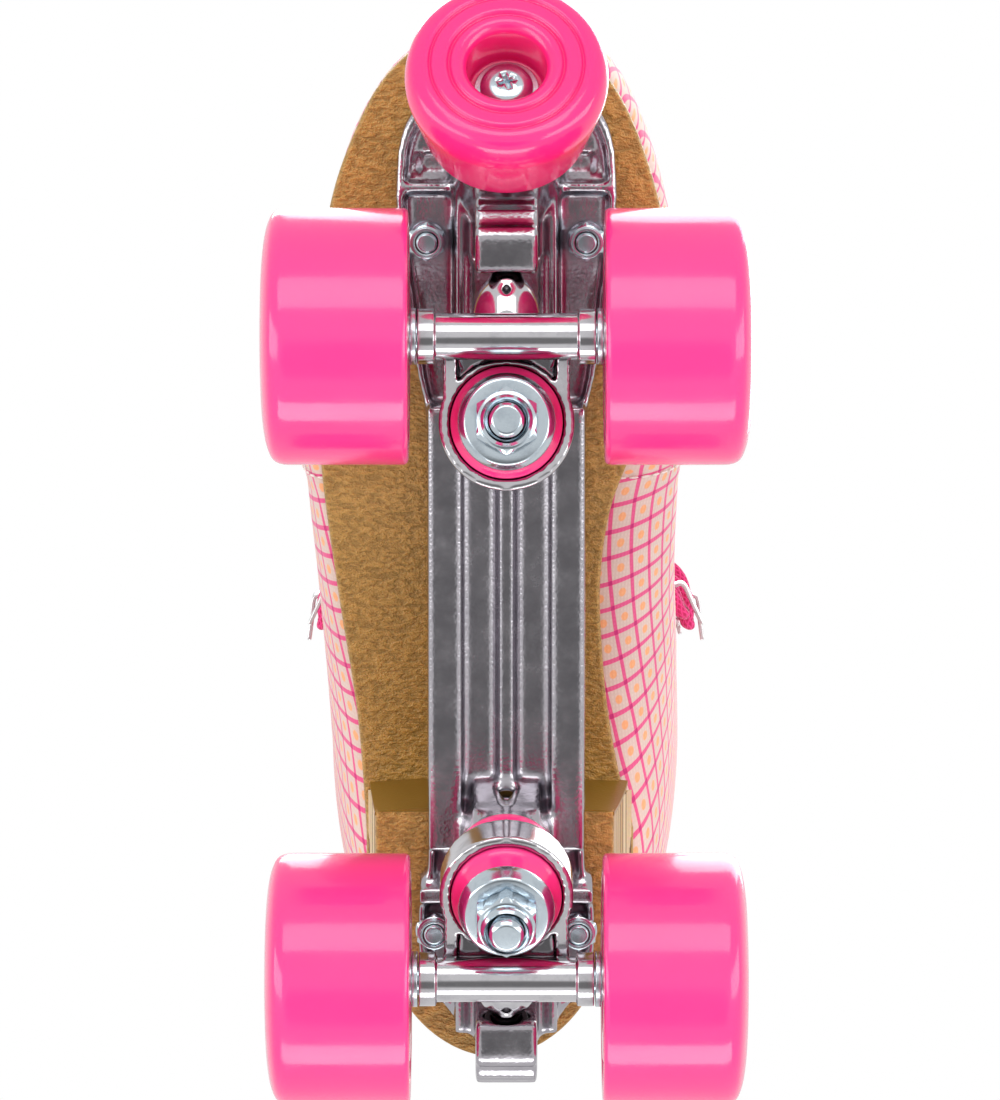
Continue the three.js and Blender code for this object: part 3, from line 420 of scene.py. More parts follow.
ring_radius, ring_bore = 15.4, 13
across_axle = Matrix.Translation((0, 0, axle_z)) @ across
pivot_arm = [(0, -23), (9, -23), (7.2, -8, 4), (3.4, -3.5, 1.5), (3.4, 4), (1.9, 5.5, 1), (0, 5.5)]
dimple_y = -9.6
hanger_solids = [
    set_in(rod(ring_radius, -5.2, 5, 96), kingpin_frame),
    prism(softened([(-14.3, -2), (14.3, -2), (14.4, 9, 4), (14.2, 21), (-14.2, 21), (-14.4, 9, 4)]),
          axle_z - 2.2, axle_z + 7.5),
    brick(-12, 12, -3, 12.6, axle_z + 2, axle_z + 9.5),
    set_in(turned(pivot_arm, 64), pivot_frame),
    set_in(rod(5.15, -19.5, 19.5), across_axle),
    shifted(rod(2.5, axle_z + 8.6, axle_z + 14), 0, dimple_y),
]
# Between its ribs the hanger's lower face is cut back to the ring's, less deeply towards the axle tube.
recess = [(-11.4, -30), (11.4, -30)] + [
    (14.3 * math.sin(a), -14.3 * math.cos(a)) for a in np.radians(np.linspace(52, -52, 15))]
recess_points, recess_faces = prism(recess, -12, 0)
floor_points = recess_points[:, 2] > -1
recess_points[floor_points, 2] = np.minimum(-2.8 - 0.3 * (-13.5 - recess_points[floor_points, 1]), -1.8)
hanger_hollows = [
    set_in(rod(ring_bore, 2, 12, 96), kingpin_frame),
    set_in(rod(ring_bore, -12, -2, 96), kingpin_frame),
    set_in(rod(6.5, -12, 12), kingpin_frame),
    set_in(brick(-30, 30, -30, 4, -14, -5.2), kingpin_frame),
    set_in((recess_points, recess_faces), kingpin_frame),
    shifted(rod(0.9, 0, axle_z + 9.9), 0, dimple_y),
]
tube_profile = [
    (0, -20.2), (6.25, -20.2, 0.35), (6.25, -16.3, 0.35), (5.3, -16.1, 0.3), (5.3, 16.1, 0.3), (6.25, 16.3, 0.35),
    (6.25, 20.2, 0.35), (0, 20.2),
]
washer_profile = [(3.9, 20.45, 0.2), (6.4, 20.45, 0.25), (6.4, 21.8, 0.25), (5.2, 21.9), (5.2, 22.9), (3.9, 22.9)]
casting = cast("truck_casting", hanger_solids, hanger_hollows, 0.42, 6, bright_plating)
casting_shape = shape_of(casting.data)
bpy.data.objects.remove(casting)
hanger_shape = joined(casting_shape, set_in(turned(tube_profile, 96), across_axle))
speed_washer_steel = plated_metal("zinc_washer", 0xC9D2D9, 0.2)
for end, truck_frame in truck_frames.items():
    fitted(piece(f"{end}_truck_casting", set_in(hanger_shape, truck_frame), bright_plating, 50),
           f"{end}_truck", "polished_steel", f"{end}_hanger")
    for side, sign in (("medial", 1), ("lateral", -1)):
        outwards = Matrix.Translation((0, 0, axle_z)) @ Matrix.Rotation(sign * math.pi / 2, 4, "Y")
        fitted(piece(f"speed_washer_{end}_{side}", set_in(turned(washer_profile, 72), truck_frame @ outwards),
                     speed_washer_steel), f"{end}_truck", "zinc_steel")


# ---- Axles, lock nuts and kingpins ----
# Zinc-plated steel with a blue passivate: threaded ends with a lead-in chamfer, and lock nuts with chamfered
# hexagons and a rolled collar round a nylon insert. The plating is bright on flats and grey in the threads.
blue_zinc = plated_metal("blue_passivated_zinc", 0xCBD6DE, 0.17, 0.0005, 0x7F8C98)


def lock_nut(flats, height, bore, collar):
    """A lock nut standing on Z 0, with its collar at the top."""
    edge = flats / 2
    corner = edge / math.cos(math.pi / 6)
    return turned([
        (bore, 0.5), (bore + 0.5, 0, 0.2), (edge - 0.3, 0, 0.3), (corner + 0.1, 0.7),
        (corner + 0.1, height - collar - 0.7), (edge - 0.3, height - collar, 0.3),
        (edge - 0.7, height - collar + 0.1), (edge - 0.8, height - 0.9, 0.3), (edge - 1.5, height, 0.5),
        (bore + 0.9, height, 0.4), (bore + 0.5, height - 0.7, 0.3), (bore, height - 1),
    ], 72, flats)


nut_start = outboard_bearing + bearing_width + 0.3
axle_nut = 6.5
axle_reach = wheel_inner_x + outboard_bearing + bearing_width + 0.3 + axle_nut - 0.5
axle_profile = [(0, -axle_reach), (3.1, -axle_reach, 0.3), (3.7, -axle_reach + 0.8, 0.2),
                (3.7, axle_reach - 0.8, 0.2), (3.1, axle_reach, 0.3), (0, axle_reach)]
for end, truck_frame in truck_frames.items():
    axle = turned(axle_profile, 36, thread=(1.0, 0.35, 39, axle_reach - 0.8))
    fitted(piece(f"{end}_axle_rod", set_in(axle, truck_frame @ Matrix.Translation((0, 0, axle_z)) @ across),
                 blue_zinc), f"{end}_truck", "zinc_steel", f"{end}_axle")
for (end, side), wheel_frame in wheel_frames.items():
    nut = shifted(lock_nut(13, axle_nut, 4, 1.8), 0, 0, nut_start)
    fitted(piece(f"locknut_{end}_{side}", set_in(nut, wheel_frame), blue_zinc, 25),
           f"{end}_truck", "zinc_steel", f"axle_nut_{end}_{side}")

kingpin_length, kingpin_head = 37.4, 7.2
kingpin_profile = [
    (0, -25.6), (3.2, -25.6, 0.4), (4, -24.7, 0.3), (4, 32.4), (7, 32.4, 0.2), (7.4, 33, 0.2), (7.4, 36.9, 0.2),
    (7, kingpin_length, 0.2), (0, kingpin_length),
]
cup_washer = turned([
    (4.3, -13.6), (9.4, -13.6, 0.5), (10.2, -11, 0.2), (11.1, -10.8, 0.3), (10.9, -12.2, 0.6), (9.9, -15.2, 0.7),
    (7.6, -15.35, 1), (4.8, -15.1, 0.3), (4.3, -14.8),
], 96)
kingpin_rise = {end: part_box(f"{end}_kingpin")[1].z * 1000 - ring_centre.z for end in truck_frames}
for end, truck_frame in truck_frames.items():
    kingpin_place = truck_frame @ kingpin_frame
    # The bolt's head is moved up to the height of the plain one's.
    top = (kingpin_rise[end] - kingpin_head * math.sin(kingpin_tilt)) / math.cos(kingpin_tilt)
    shift = top - kingpin_length
    profile = [(c[0], c[1] + (shift if c[1] > 30 else 0), *c[2:]) for c in kingpin_profile]
    bolt = turned(profile, 48, thread=(1.25, 0.4, 16, 24.6))
    fitted(piece(f"{end}_kingpin_bolt", set_in(bolt, kingpin_place), blue_zinc, 25),
           "boot_and_plate", "zinc_steel", f"{end}_kingpin")
    down = Matrix.Translation((0, 0, -15.4)) @ Matrix.Rotation(math.pi, 4, "X")
    fitted(piece(f"{end}_kingpin_locknut", set_in(lock_nut(13.4, 8, 4.3, 2.6), kingpin_place @ down), blue_zinc, 25),
           "boot_and_plate", "zinc_steel", f"{end}_kingpin_nut")
    fitted(piece(f"{end}_cup_washer", set_in(cup_washer, kingpin_place), blue_zinc),
           "boot_and_plate", "zinc_steel", f"{end}_cushion_washer")


# ---- Truck cushions and pivot cups ----
# Each truck steers on two rings of soft cast urethane on its kingpin, a barrel above the hanger's ring and a
# cone below it. The pivot cup is a moulded nylon thimble in the plate, round the tip of the pivot arm.
cushion_urethane = cast_urethane("cast_urethane_cushion", 0xFF3A88, 0xD81A63)
upper_cushion = [
    (4.3, 2.3), (11.6, 2.3, 0.8), (12.4, 3.2, 0.9), (12.4, 5.4, 2), (11.2, 8.8, 3), (12.4, 13, 2), (11.8, 15.1, 1),
    (4.3, 15.3),
]
lower_cushion = [
    (4.3, -2.3), (12, -2.3, 0.6), (12.75, -2.9, 0.6), (12.75, -5.6, 0.7), (11.6, -6.8, 1.4), (9.9, -11, 0.6),
    (9.2, -13.4, 0.4), (4.3, -13.4),
]
for end, truck_frame in truck_frames.items():
    for level, profile in (("upper", upper_cushion), ("lower", lower_cushion)):
        kingpin_place = truck_frame @ kingpin_frame
        bushing = piece(f"{end}_{level}_bushing", set_in(turned(profile, 96), kingpin_place), cushion_urethane)
        fitted(bushing, "boot_and_plate", "pink_urethane", f"{end}_{level}_cushion")
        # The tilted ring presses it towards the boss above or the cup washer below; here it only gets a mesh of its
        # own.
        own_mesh(bushing)


def moulded_plastic(name, tint, rough, grain):
    """A moulded plastic with the faint grain of its tool."""
    made, tree = finish(name, IOR=1.49)
    texture = noise(tree, on_object(tree), grain, 4.0)
    return dressed(made, blend(tree, texture, tint, 0x0A0A0B), texture, 0.15, 0.0002,
                   ranged(tree, texture, 0.0, 1.0, rough - 0.08, rough + 0.1))


cup_nylon = moulded_plastic("moulded_nylon", 0x2B2B2E, 0.45, 0.0008)
cup_profile = [(3.75, -2, 0.4), (5.1, -2, 0.4), (5.2, 8.4, 1), (0, 8.5), (0, 7), (3.7, 7, 1)]
for end, truck_frame in truck_frames.items():
    fitted(piece(f"{end}_pivot_thimble", set_in(turned(cup_profile, 60), truck_frame @ pivot_frame), cup_nylon),
           "boot_and_plate", "black_nylon", f"{end}_pivot_cup")


# ---- Plate ----
# One pressure casting in aluminium, tumbled and polished: a rimmed flange under the sole, two rails joined by a
# rib, and at each end a boss for the kingpin and a block for the pivot. Its pockets keep the skin of the mould.
plate_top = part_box("plate")[1].z * 1000
flange_low = plate_top - 3.5
front_y, rear_y = -half_wheelbase, half_wheelbase
plate_edge = [
    (7, front_y - 56.5, 6), (15, front_y - 53, 5), (22, front_y - 46, 5), (24.6, front_y - 40, 4),
    (26, front_y - 25, 12), (21, front_y + 14, 8), (18.5, front_y + 24, 6), (18.5, rear_y - 15, 4),
    (20.8, rear_y - 8, 3), (20.8, rear_y + 9, 8), (8, rear_y + 25, 3),
]


def plate_outline(inset):
    half = [(x - inset, y + (inset if y < 0 else -inset), size) for x, y, size in plate_edge]
    return softened(half + [(-x, y, size) for x, y, size in half[::-1]])


def bearer(side, x0, x1, y0, y1, z0, z1):
    """A brick on one side of the middle, given by how far out it starts and ends."""
    return brick(*sorted((side * x0, side * x1)), y0, y1, z0, z1)


def at_truck(shape, end, place=Matrix.Identity(4)):
    return set_in(shape, truck_frames[end] @ place)


stop_tilt = math.radians(40)
stop_base = Vector((0, front_y - 45.5, plate_top - 21.5))
stop_down = Vector((0, -math.sin(stop_tilt), -math.cos(stop_tilt)))
stop_frame = Matrix.Translation(stop_base) @ Vector((0, 0, 1)).rotation_difference(stop_down).to_matrix().to_4x4()
boss = turned([(0, 15.6), (9.8, 15.6), (10.4, 16.4), (10.4, 60), (0, 60)], 96)
block_side = [
    (-12.6, 69), (-12.6, 38.6), (-13.8, 37.1), (-21.4, 37.1), (-23.4, 38.2), (-24, 40.2), (-27, 41.2), (-27.6, 44),
    (-29.2, 45.2), (-29.6, 48.6), (-31, 50), (-31.4, 54), (-31.4, 69),
]
boss_side = [(16, 69), (16, 50.6), (33.4, 50.6), (34.6, 52), (35.2, 57), (37.6, 66), (37.6, 69)]
plate_solids = [
    prism(plate_outline(0), flange_low, plate_top),
    brick(-2, 2, front_y + 20, rear_y - 20, flange_low - 3, plate_top - 1),
    set_in(turned([(0, 0.6), (11.5, 0.6), (12.6, 14), (13.5, 45), (0, 45)], 72),
           Matrix.Translation(stop_base) @ (-stop_down).to_track_quat("Z", "Y").to_matrix().to_4x4()),
]
rim = prism(plate_outline(0), flange_low - 2.4, flange_low + 1)
for side in (-1, 1):
    plate_solids += [
        side_prism([(front_y + 22, plate_top - 1), (front_y + 22, plate_top - 10.5), (rear_y - 22, plate_top - 10.5),
                    (rear_y - 22, plate_top - 1)], *sorted((side * 10.5, side * 18.2))),
        bearer(side, 9.4, 11.8, front_y - 38, front_y + 22, plate_top - 9.5, plate_top - 1),
        bearer(side, 10.5, 24, front_y - 29.6, front_y - 27.4, flange_low - 2.6, plate_top - 1),
        side_prism([(rear_y - 16, flange_low + 1), (rear_y - 12, flange_low - 4.5), (rear_y - 8.6, flange_low - 4.5),
                    (rear_y - 8.6, flange_low + 1)], *sorted((side * 13, side * 20.4))),
        bearer(side, 9.6, 11.8, rear_y - 22, rear_y + 22, plate_top - 9, plate_top - 1),
    ]
for end in ("front", "rear"):
    plate_solids += [
        at_truck(boss, end, kingpin_frame),
        at_truck(side_prism(block_side, -7.2, 7.2), end),
        at_truck(brick(-12, 12, -23, 20.6, flange_low - 4.5, plate_top - 1), end),
        at_truck(side_prism(boss_side, -8, 8), end),
    ]
boot_seat = plate_top + 0.3
sole_thickness, lift_thickness = 3.7, 4
ball_z = boot_seat + sole_thickness + 0.3
bolt_places = [(18.4, front_y - 16, "front_medial"), (-18.4, front_y - 16, "front_lateral"),
               (17, rear_y - 1.4, "rear_medial"), (-17, rear_y - 1.4, "rear_lateral")]
rim_room = prism(plate_outline(1.9), flange_low - 9, flange_low)
plate_hollows = [
    brick(-60, 60, -200, 200, plate_top - 0.05, 120),
    *[at_truck(tool, end, kingpin_frame) for end in ("front", "rear")
      for tool in (rod(4.3, 0, 60), rod(8.2, kingpin_rise[end] - 8, 60))],
    *[at_truck(rod(5.5, -12, 8.9), end, pivot_frame) for end in ("front", "rear")],
    *[at_truck(prism([(-5.4, 39.6), (5.4, 39.6), (0, 34.6)], 53, 64.5), end) for end in ("front", "rear")],
    *[prism(softened([(side * 13, front_y - 36.6, 2), (side * 21, front_y - 36.6, 2), (side * 20.4, front_y - 31, 2),
                      (side * 13, front_y - 31, 2)]), 40, flange_low + 1.3) for side in (-1, 1)],
    *[shifted(rod(2.9, 40, 100), x, y) for x, y, _ in bolt_places],
    set_in(rod(4.3, -15, 5), stop_frame),
]


def cast_aluminium(name):
    made, tree = finish(name, Metallic=1.0)
    where = on_object(tree)
    # Tumbling leaves a 6 mm mottle, and the mould's skin shows as 0.7 mm pits in the pockets. Painted shade: where the
    # surface is enclosed within about 6 mm its colour goes darker grey, and it is rougher there, like the mould's skin.
    mottle = noise(tree, where, 0.006, 7.0, Roughness=0.65)
    pits = add(tree, "ShaderNodeTexVoronoi", {"Vector": where, "Scale": 1 / 0.0007}, feature="SMOOTH_F1")
    hollow = add(tree, "ShaderNodeAmbientOcclusion", {"Distance": 0.006}, samples=6)
    open_share = ranged(tree, hollow.outputs["AO"], 0.35, 0.85)
    mottle_and_pocket_shade = blend(tree, open_share, 0x8A868E, blend(tree, mottle, 0xA9A5AC, 0xC4C1C6))
    base = ranged(tree, mottle, 0.35, 0.75, 0.13, 0.27)
    level = add(tree, "ShaderNodeMix", {"Factor": open_share, "A": 0.36, "B": base})
    fine = add(tree, "ShaderNodeBump", {"Height": pits.outputs["Distance"], "Strength": 0.1, "Distance": 0.0004})
    return dressed(made, mottle_and_pocket_shade, mottle, 0.12, 0.0008, level.outputs[0], Normal=fine.outputs[0])


polished_casting = cast_aluminium("polished_cast_aluminium")
rim_tool = piece("rim_room", rim_room, polished_casting)
rim_piece = piece("rim", rim, polished_casting)
cut_by(rim_piece, rim_tool)
rim_shape = shape_of(settled(rim_piece))
for scrap in (rim_tool, rim_piece):
    bpy.data.objects.remove(scrap)
plate = cast("plate_casting", [*plate_solids, rim_shape], plate_hollows, 0.75, 5, polished_casting)
fitted(plate, "boot_and_plate", "cast_aluminium", "plate")


# ---- Mounting bolts ----
# Four M5 bolts come down through the sole and the plate's flange, and are held from below by lock nuts.
# They are zinc plated, like the axles.
for x, y, place in bolt_places:
    low, high = (corner.z * 1000 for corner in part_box(f"mounting_bolt_{place}"))
    bolt = turned([
        (0, low), (2.0, low, 0.2), (2.5, low + 0.6, 0.2), (2.5, high - 2.6, 0.2), (4.8, high - 2.6, 0.3),
        (4.4, high - 0.9, 1.2), (0, high),
    ], 36, thread=(0.8, 0.28, low + 0.7, low + 9))
    fitted(piece(f"bolt_{place}", shifted(bolt, x, y), blue_zinc, 30), "boot_and_plate", "zinc_steel",
           f"mounting_bolt_{place}")
    skirt = turned([(2.9, 0), (4.35, 0, 0.2), (4.5, 0.35, 0.2), (4.0, 0.9), (2.9, 0.9)], 48)
    points, faces = joined(lock_nut(8, 4.7, 2.8, 1.5), skirt)
    fitted(piece(f"nut_{place}", (points * [1, -1, -1] + [x, y, flange_low - 0.3], faces), blue_zinc, 25),
           "boot_and_plate", "zinc_steel", f"mounting_nut_{place}")


# ---- Toe stop ----
# A brake of cast urethane on a bolt in the plate's nose: a flared puck with a rolled rim, turned ridges on its
# face and a deep hole for its screw. A pan-head screw with a cross recess and a washer hold it.
stop_urethane = cast_urethane("cast_urethane_stop", 0xFF2A80, 0xE8155F)
stop_face, stop_seat = 26, 13
puck = turned([
    (4.3, 0), (18.4, 0, 0.6), (19, 0.7, 0.6), (22.9, 17.4, 1.5), (23, 20.5, 2.4), (21.9, 24.6, 2.2),
    (19.2, stop_face, 2), (17.9, stop_face, 0.5), (17.3, 25.1, 0.5), (16.7, stop_face, 0.6), (13.7, stop_face, 0.6),
    (13, 24.9, 0.6), (12.3, stop_face, 0.6), (10.6, stop_face, 1.2), (9, 24.4, 1.2), (8.8, stop_seat, 0.8),
    (4.3, stop_seat),
], 144)
fitted(piece("toe_stop_puck", set_in(puck, stop_frame), stop_urethane), "boot_and_plate", "pink_urethane",
       "toe_stop")
washer = turned([(4.3, 13.3), (7.3, 13.3, 0.2), (7.5, 13.6, 0.2), (7.3, 14.6, 0.2), (4.3, 14.6)], 60)
fitted(piece("toe_stop_plain_washer", set_in(washer, stop_frame), blue_zinc), "boot_and_plate", "zinc_steel",
       "toe_stop_washer")
head = 14.9
screw = piece("toe_stop_pan_screw", set_in(turned([
    (0, -14), (3.4, -14, 0.3), (4, -13.2, 0.3), (4, head, 0.2), (5.9, head, 0.3), (6.1, head + 0.8, 0.8),
    (4.6, head + 3, 1.8), (0, head + 3.5),
], 60, thread=(1.25, 0.4, 0.5, 13)), stop_frame), blue_zinc, 30)
# Two wedges, crossed, cut the recess for the driver. It tapers from its mouth to its tip.
tip, mouth = (0.9, 0.45), (3.3, 0.75)
blade = [(x, y, z) for z, (x_half, y_half) in ((head + 0.9, tip), (head + 5, mouth))
         for x, y in ((-x_half, -y_half), (x_half, -y_half), (x_half, y_half), (-x_half, y_half))]
blade_faces = [(3, 2, 1, 0), (4, 5, 6, 7), (0, 1, 5, 4), (1, 2, 6, 5), (2, 3, 7, 6), (3, 0, 4, 7)]
cross_cutters = []
for quarter in (0, math.pi / 2):
    blade_points = moved(moved(blade, Matrix.Rotation(quarter + 0.35, 4, "Z")), stop_frame)
    cross_cutters.append(piece(f"cross_{len(cross_cutters)}", (blade_points, blade_faces), blue_zinc))
    cut_by(screw, cross_cutters[-1])
settled(screw)
for cutter in cross_cutters:
    bpy.data.objects.remove(cutter)
fitted(screw, "boot_and_plate", "zinc_steel", "toe_stop_screw")


# ---- The last ----
# The boot is drawn over a last, so its sole, lining, upper and lace all measure from the last's cross-sections.
# Each row is one section, from the toe to the collar: where its lower end is, its share of the heel's rise and
# height above the seat, where its upper end is and its height over the ball, half-widths (lateral, medial), the
# flat share of each at the sole, the share of its height where it is widest, and how squarely it closes.
last_rows = np.array([
    [-140.5, 0.14, 0, -141, 15, 7, 6, 0.5, 0.5, 0.45, 1],
    [-137, 0.06, 0, -138.5, 27, 18, 15.5, 0.8, 0.8, 0.42, 0.95],
    [-128, 0, 0, -130, 36.5, 29, 25.5, 0.88, 0.88, 0.38, 0.95],
    [-112, 0, 0, -112, 43, 38.5, 33.5, 0.9, 0.9, 0.34, 0.95],
    [-90, 0, 0, -88, 48.5, 44, 39, 0.92, 0.92, 0.32, 0.95],
    [-62, 0, 0, -60, 57, 47, 41.5, 0.92, 0.9, 0.3, 0.95],
    [-32, 0.12, 0, -36, 69, 47.4, 41, 0.89, 0.62, 0.32, 0.85],
    [0, 0.48, 0, -18, 78, 45.5, 40.5, 0.83, 0.52, 0.4, 0.75],
    [35, 0.86, 0, -3, 90, 44, 41.5, 0.74, 0.57, 0.5, 0.62],
    [70, 1, 0, 8, 102, 43, 42, 0.7, 0.67, 0.6, 0.52],
    [97, 1.1, 0, 14, 112, 43, 42.5, 0.45, 0.45, 0.65, 0.46],
    [107.5, 1, 20, 16, 122, 43, 43, 0.1, 0.1, 0.66, 0.44],
    [106, 1, 49, 16, 134, 43, 43, 0.05, 0.05, 0.64, 0.44],
    [102.5, 1, 84, 15, 147, 43, 43, 0.05, 0.05, 0.6, 0.46],
    [102.5, 1, 117, 12, 159, 43, 43, 0.05, 0.05, 0.58, 0.48],
    [105, 1, 146, 8, 171, 43.5, 43.5, 0.05, 0.05, 0.57, 0.5],
    [106, 1, 155, 5, 180, 43.5, 43.5, 0.05, 0.05, 0.57, 0.5],
])
heel_rise = 25
throat_places, throat_widths = zip((5.9, 5), (7, 12), (9, 20), (11, 33), (13, 38), (15, 38.5), (16, 38.5))


def last_row(place):
    """The section at a place along the rows, on a smooth curve through them."""
    low = min(max(int(place), 0), len(last_rows) - 2)
    share = place - low
    rows = [last_rows[min(max(low + k, 0), len(last_rows) - 1)] for k in (-1, 0, 1, 2)]
    smooth = 0.5 * (2 * rows[1] + (rows[2] - rows[0]) * share
                    + (2 * rows[0] - 5 * rows[1] + 4 * rows[2] - rows[3]) * share ** 2
                    + (3 * rows[1] - rows[0] - 3 * rows[2] + rows[3]) * share ** 3)
    return smooth


def last_points(place, angles, side):
    """Points round one side (1 medial, -1 lateral) of a section, from 0 at the sole to pi at the top."""
    low_y, seat, back, top_y, top, lateral, medial, flat_l, flat_m, widest, square = last_row(place)
    half, flat = (medial, flat_m) if side > 0 else (lateral, flat_l)
    low = np.array([0, low_y, ball_z + seat * heel_rise + back])
    high = np.array([0, top_y, ball_z + top])
    angles = np.asarray(angles, float)
    sine = np.clip(np.sin(angles), 0, 1)
    cosine = np.abs(np.cos(angles))
    rising = angles < math.pi / 2
    width = half * np.where(rising, flat + (1 - flat) * sine, sine ** square)
    climb = np.where(rising, widest * (1 - cosine), widest + (1 - widest) * cosine ** square)
    points = low + (high - low) * climb[:, None]
    points[:, 0] = side * width
    return points


def edge_angle(place, width, side):
    """The angle at which the front of a section has a half-width."""
    row = last_row(place)
    return math.pi - math.asin(min(width / row[6 if side > 0 else 5], 0.995) ** (1 / row[10]))


def lengths_along(line):
    """How far each point of a line lies from its start."""
    return np.concatenate([[0], np.cumsum(np.linalg.norm(np.diff(line, axis=0), axis=1))])


def evenly(line, count):
    """A line's points set evenly along it, and their lengths along it."""
    lengths = lengths_along(line)
    even = np.linspace(0, lengths[-1], count)
    return np.stack([np.interp(even, lengths, line[:, k]) for k in range(3)], 1), even


def girth(place, side, end, count, tuck=0):
    """Evenly spaced points round a section, from under the sole to an angle, and their lengths along it."""
    share = np.linspace(1, 0, 160)
    fine = np.concatenate([np.linspace(0, math.pi, 220), math.pi - np.arcsin(share ** (1 / last_row(place)[10]))])
    fine = np.unique(np.append(fine[fine < end], end))
    line = last_points(place, fine, side)
    if tuck:
        under = line[:1].copy()
        under[0, 0] = side * max(abs(under[0, 0]) - tuck, 0)
        line = np.concatenate([under, line])
    return evenly(line, count)


def outward(grid, middle):
    """The normals of a grid of points, turned away from a middle."""
    lengthwise, around = np.gradient(grid, axis=0), np.gradient(grid, axis=1)
    normal = np.cross(lengthwise, around)
    normal /= np.maximum(np.linalg.norm(normal, axis=2, keepdims=True), 1e-9)
    side = np.sum(normal * (grid - middle), axis=2, keepdims=True)
    flip = np.where(np.sum(side) < 0, -1, 1)
    return normal * flip


def walled(outer, inner):
    """A closed wall between two grids of points, and how many of its faces are on the outside."""
    rows, columns = outer.shape[:2]
    points = np.concatenate([outer.reshape(-1, 3), inner.reshape(-1, 3)])
    start = rows * columns
    faces = []
    for offset, order in ((0, 1), (start, -1)):
        for r in range(rows - 1):
            for c in range(columns - 1):
                face = (r * columns + c, r * columns + c + 1, (r + 1) * columns + c + 1, (r + 1) * columns + c)
                faces.append(tuple(offset + index for index in face[::order]))
    rims = [[r * columns + c for c in range(columns)] for r in (0, rows - 1)]
    rims += [[r * columns + c for r in range(rows)] for c in (0, columns - 1)]
    for rim in rims:
        faces += [(a, b, start + b, start + a) for a, b in zip(rim, rim[1:])]
    return (points, faces), (rows - 1) * (columns - 1)


# ---- Outsole ----
# A gold-tan sole cut from one sheet of embossed leather, 3.7 mm thick, cemented under the last from toe to heel.
# Its edge is trimmed and dyed a little darker, and the embossing is a crinkle a few millimetres across.
def sole_height(y):
    return np.interp(y, last_rows[:11, 0], ball_z + last_rows[:11, 1] * heel_rise)


def crinkled_leather(name, tint, deep, bright, fold):
    """Embossed leather: short folds across it a set distance apart, darker down in the folds and paler and smoother on
    their tops.
    """
    made, tree = finish(name, IOR=1.48, Coat_Weight=0.2, Coat_Roughness=0.3)
    where = on_object(tree)
    drawn = add(tree, "ShaderNodeVectorMath", {0: where, 1: (0.5, 1, 1)}, operation="MULTIPLY").outputs[0]
    lie = noise(tree, drawn, fold, 2.0, Roughness=0.45, Distortion=0.5)
    height = calc(tree, "MULTIPLY_ADD", noise(tree, where, fold / 2.2), 0.35, lie)
    top = ranged(tree, height, 0.54, 0.8)
    worn = blend(tree, noise(tree, where, 0.035, 3.0), tint, bright)
    return dressed(made, blend(tree, top, deep, worn), height, 0.9, 0.0011, ranged(tree, top, 0.0, 1.0, 0.5, 0.32))


sole_leather = crinkled_leather("embossed_sole_leather", 0xB88E43, 0x9A7532, 0xC89648, 0.00105)
sole_edge = np.array([
    (-33.5, 56), (-35.5, 27), (-39.5, -3), (-43.2, -35), (-44.5, -65), (-41.5, -95), (-35.7, -114), (-27.4, -129),
    (-15, -138.6), (-2, -142), (10, -139.4), (21, -131), (29, -118.4), (35.8, -97.6), (39, -75), (36, -57),
    (28.6, -37.8), (24.3, -25), (22.2, -8), (22.6, 8), (24.2, 26), (27, 42), (30.5, 56),
], float)


def smooth_line(corners, steps=12, closed=False):
    """A smooth curve through points, as a row of points."""
    corners = np.asarray(corners, float)
    count = len(corners)
    line = []
    for k in range(count if closed else count - 1):
        a, b, c, d = [corners[(k + j) % count if closed else min(max(k + j, 0), count - 1)] for j in (-1, 0, 1, 2)]
        for step in range(steps):
            t = step / steps
            line.append(0.5 * (2 * b + (c - a) * t + (2 * a - 5 * b + 4 * c - d) * t * t
                               + (3 * b - a - 3 * c + d) * t ** 3))
    if not closed:
        line.append(corners[-1])
    return np.array(line)


def heel_curve(lateral, medial, rear, start, arc_y=68, steps=40):
    """A heel's outline: straight sides and a round back, from the medial side to the lateral."""
    turns = np.linspace(0, math.pi, steps)
    arc = np.stack([(medial - lateral) / 2 + (medial + lateral) / 2 * np.cos(turns),
                    arc_y + (rear - arc_y) * np.sin(turns)], 1)
    return np.concatenate([[(medial, start)], arc, [(-lateral, start)]])


def layered(outline, stations, low, high, edge=0.8, columns=26):
    """A sheet with rounded edges inside an outline: low and high give its faces' heights along Y."""
    closed = np.concatenate([outline, outline[:1]])
    rings = []
    for y in np.clip(stations, outline[:, 1].min() + 0.02, outline[:, 1].max() - 0.02):
        cross = [a[0] + (b[0] - a[0]) * (y - a[1]) / (b[1] - a[1])
                 for a, b in zip(closed, closed[1:]) if (a[1] - y) * (b[1] - y) <= 0 and a[1] != b[1]]
        left, right = min(cross), max(cross)
        middle = (left + right) / 2
        half = max((right - left) / 2, 0.05)
        inset = min(edge, half * 0.9)
        share = np.sin(np.linspace(-math.pi / 2, math.pi / 2, columns))
        x = middle + share * (half - inset)
        bottom, top = low(y), high(y)
        turns = np.linspace(0, math.pi, 7)[1:-1]
        reach = inset * np.sin(turns)
        climb = (bottom + top) / 2 - (top - bottom) / 2 * np.cos(turns)
        right_edge = [(x[-1] + r, y, z) for r, z in zip(reach, climb)]
        left_edge = [(x[0] - r, y, z) for r, z in zip(reach[::-1], climb[::-1])]
        rings.append([(v, y, bottom) for v in x] + right_edge + [(v, y, top) for v in x[::-1]] + left_edge)
    rings = np.array(rings)
    rows, count = rings.shape[:2]
    points = np.concatenate([rings.reshape(-1, 3), [rings[0].mean(0)], [rings[-1].mean(0)]])
    faces = ring_faces(rows, count) + [(rows * count, (c + 1) % count, c) for c in range(count)]
    last_ring = (rows - 1) * count
    faces += [(rows * count + 1, last_ring + c, last_ring + (c + 1) % count) for c in range(count)]
    return points, faces


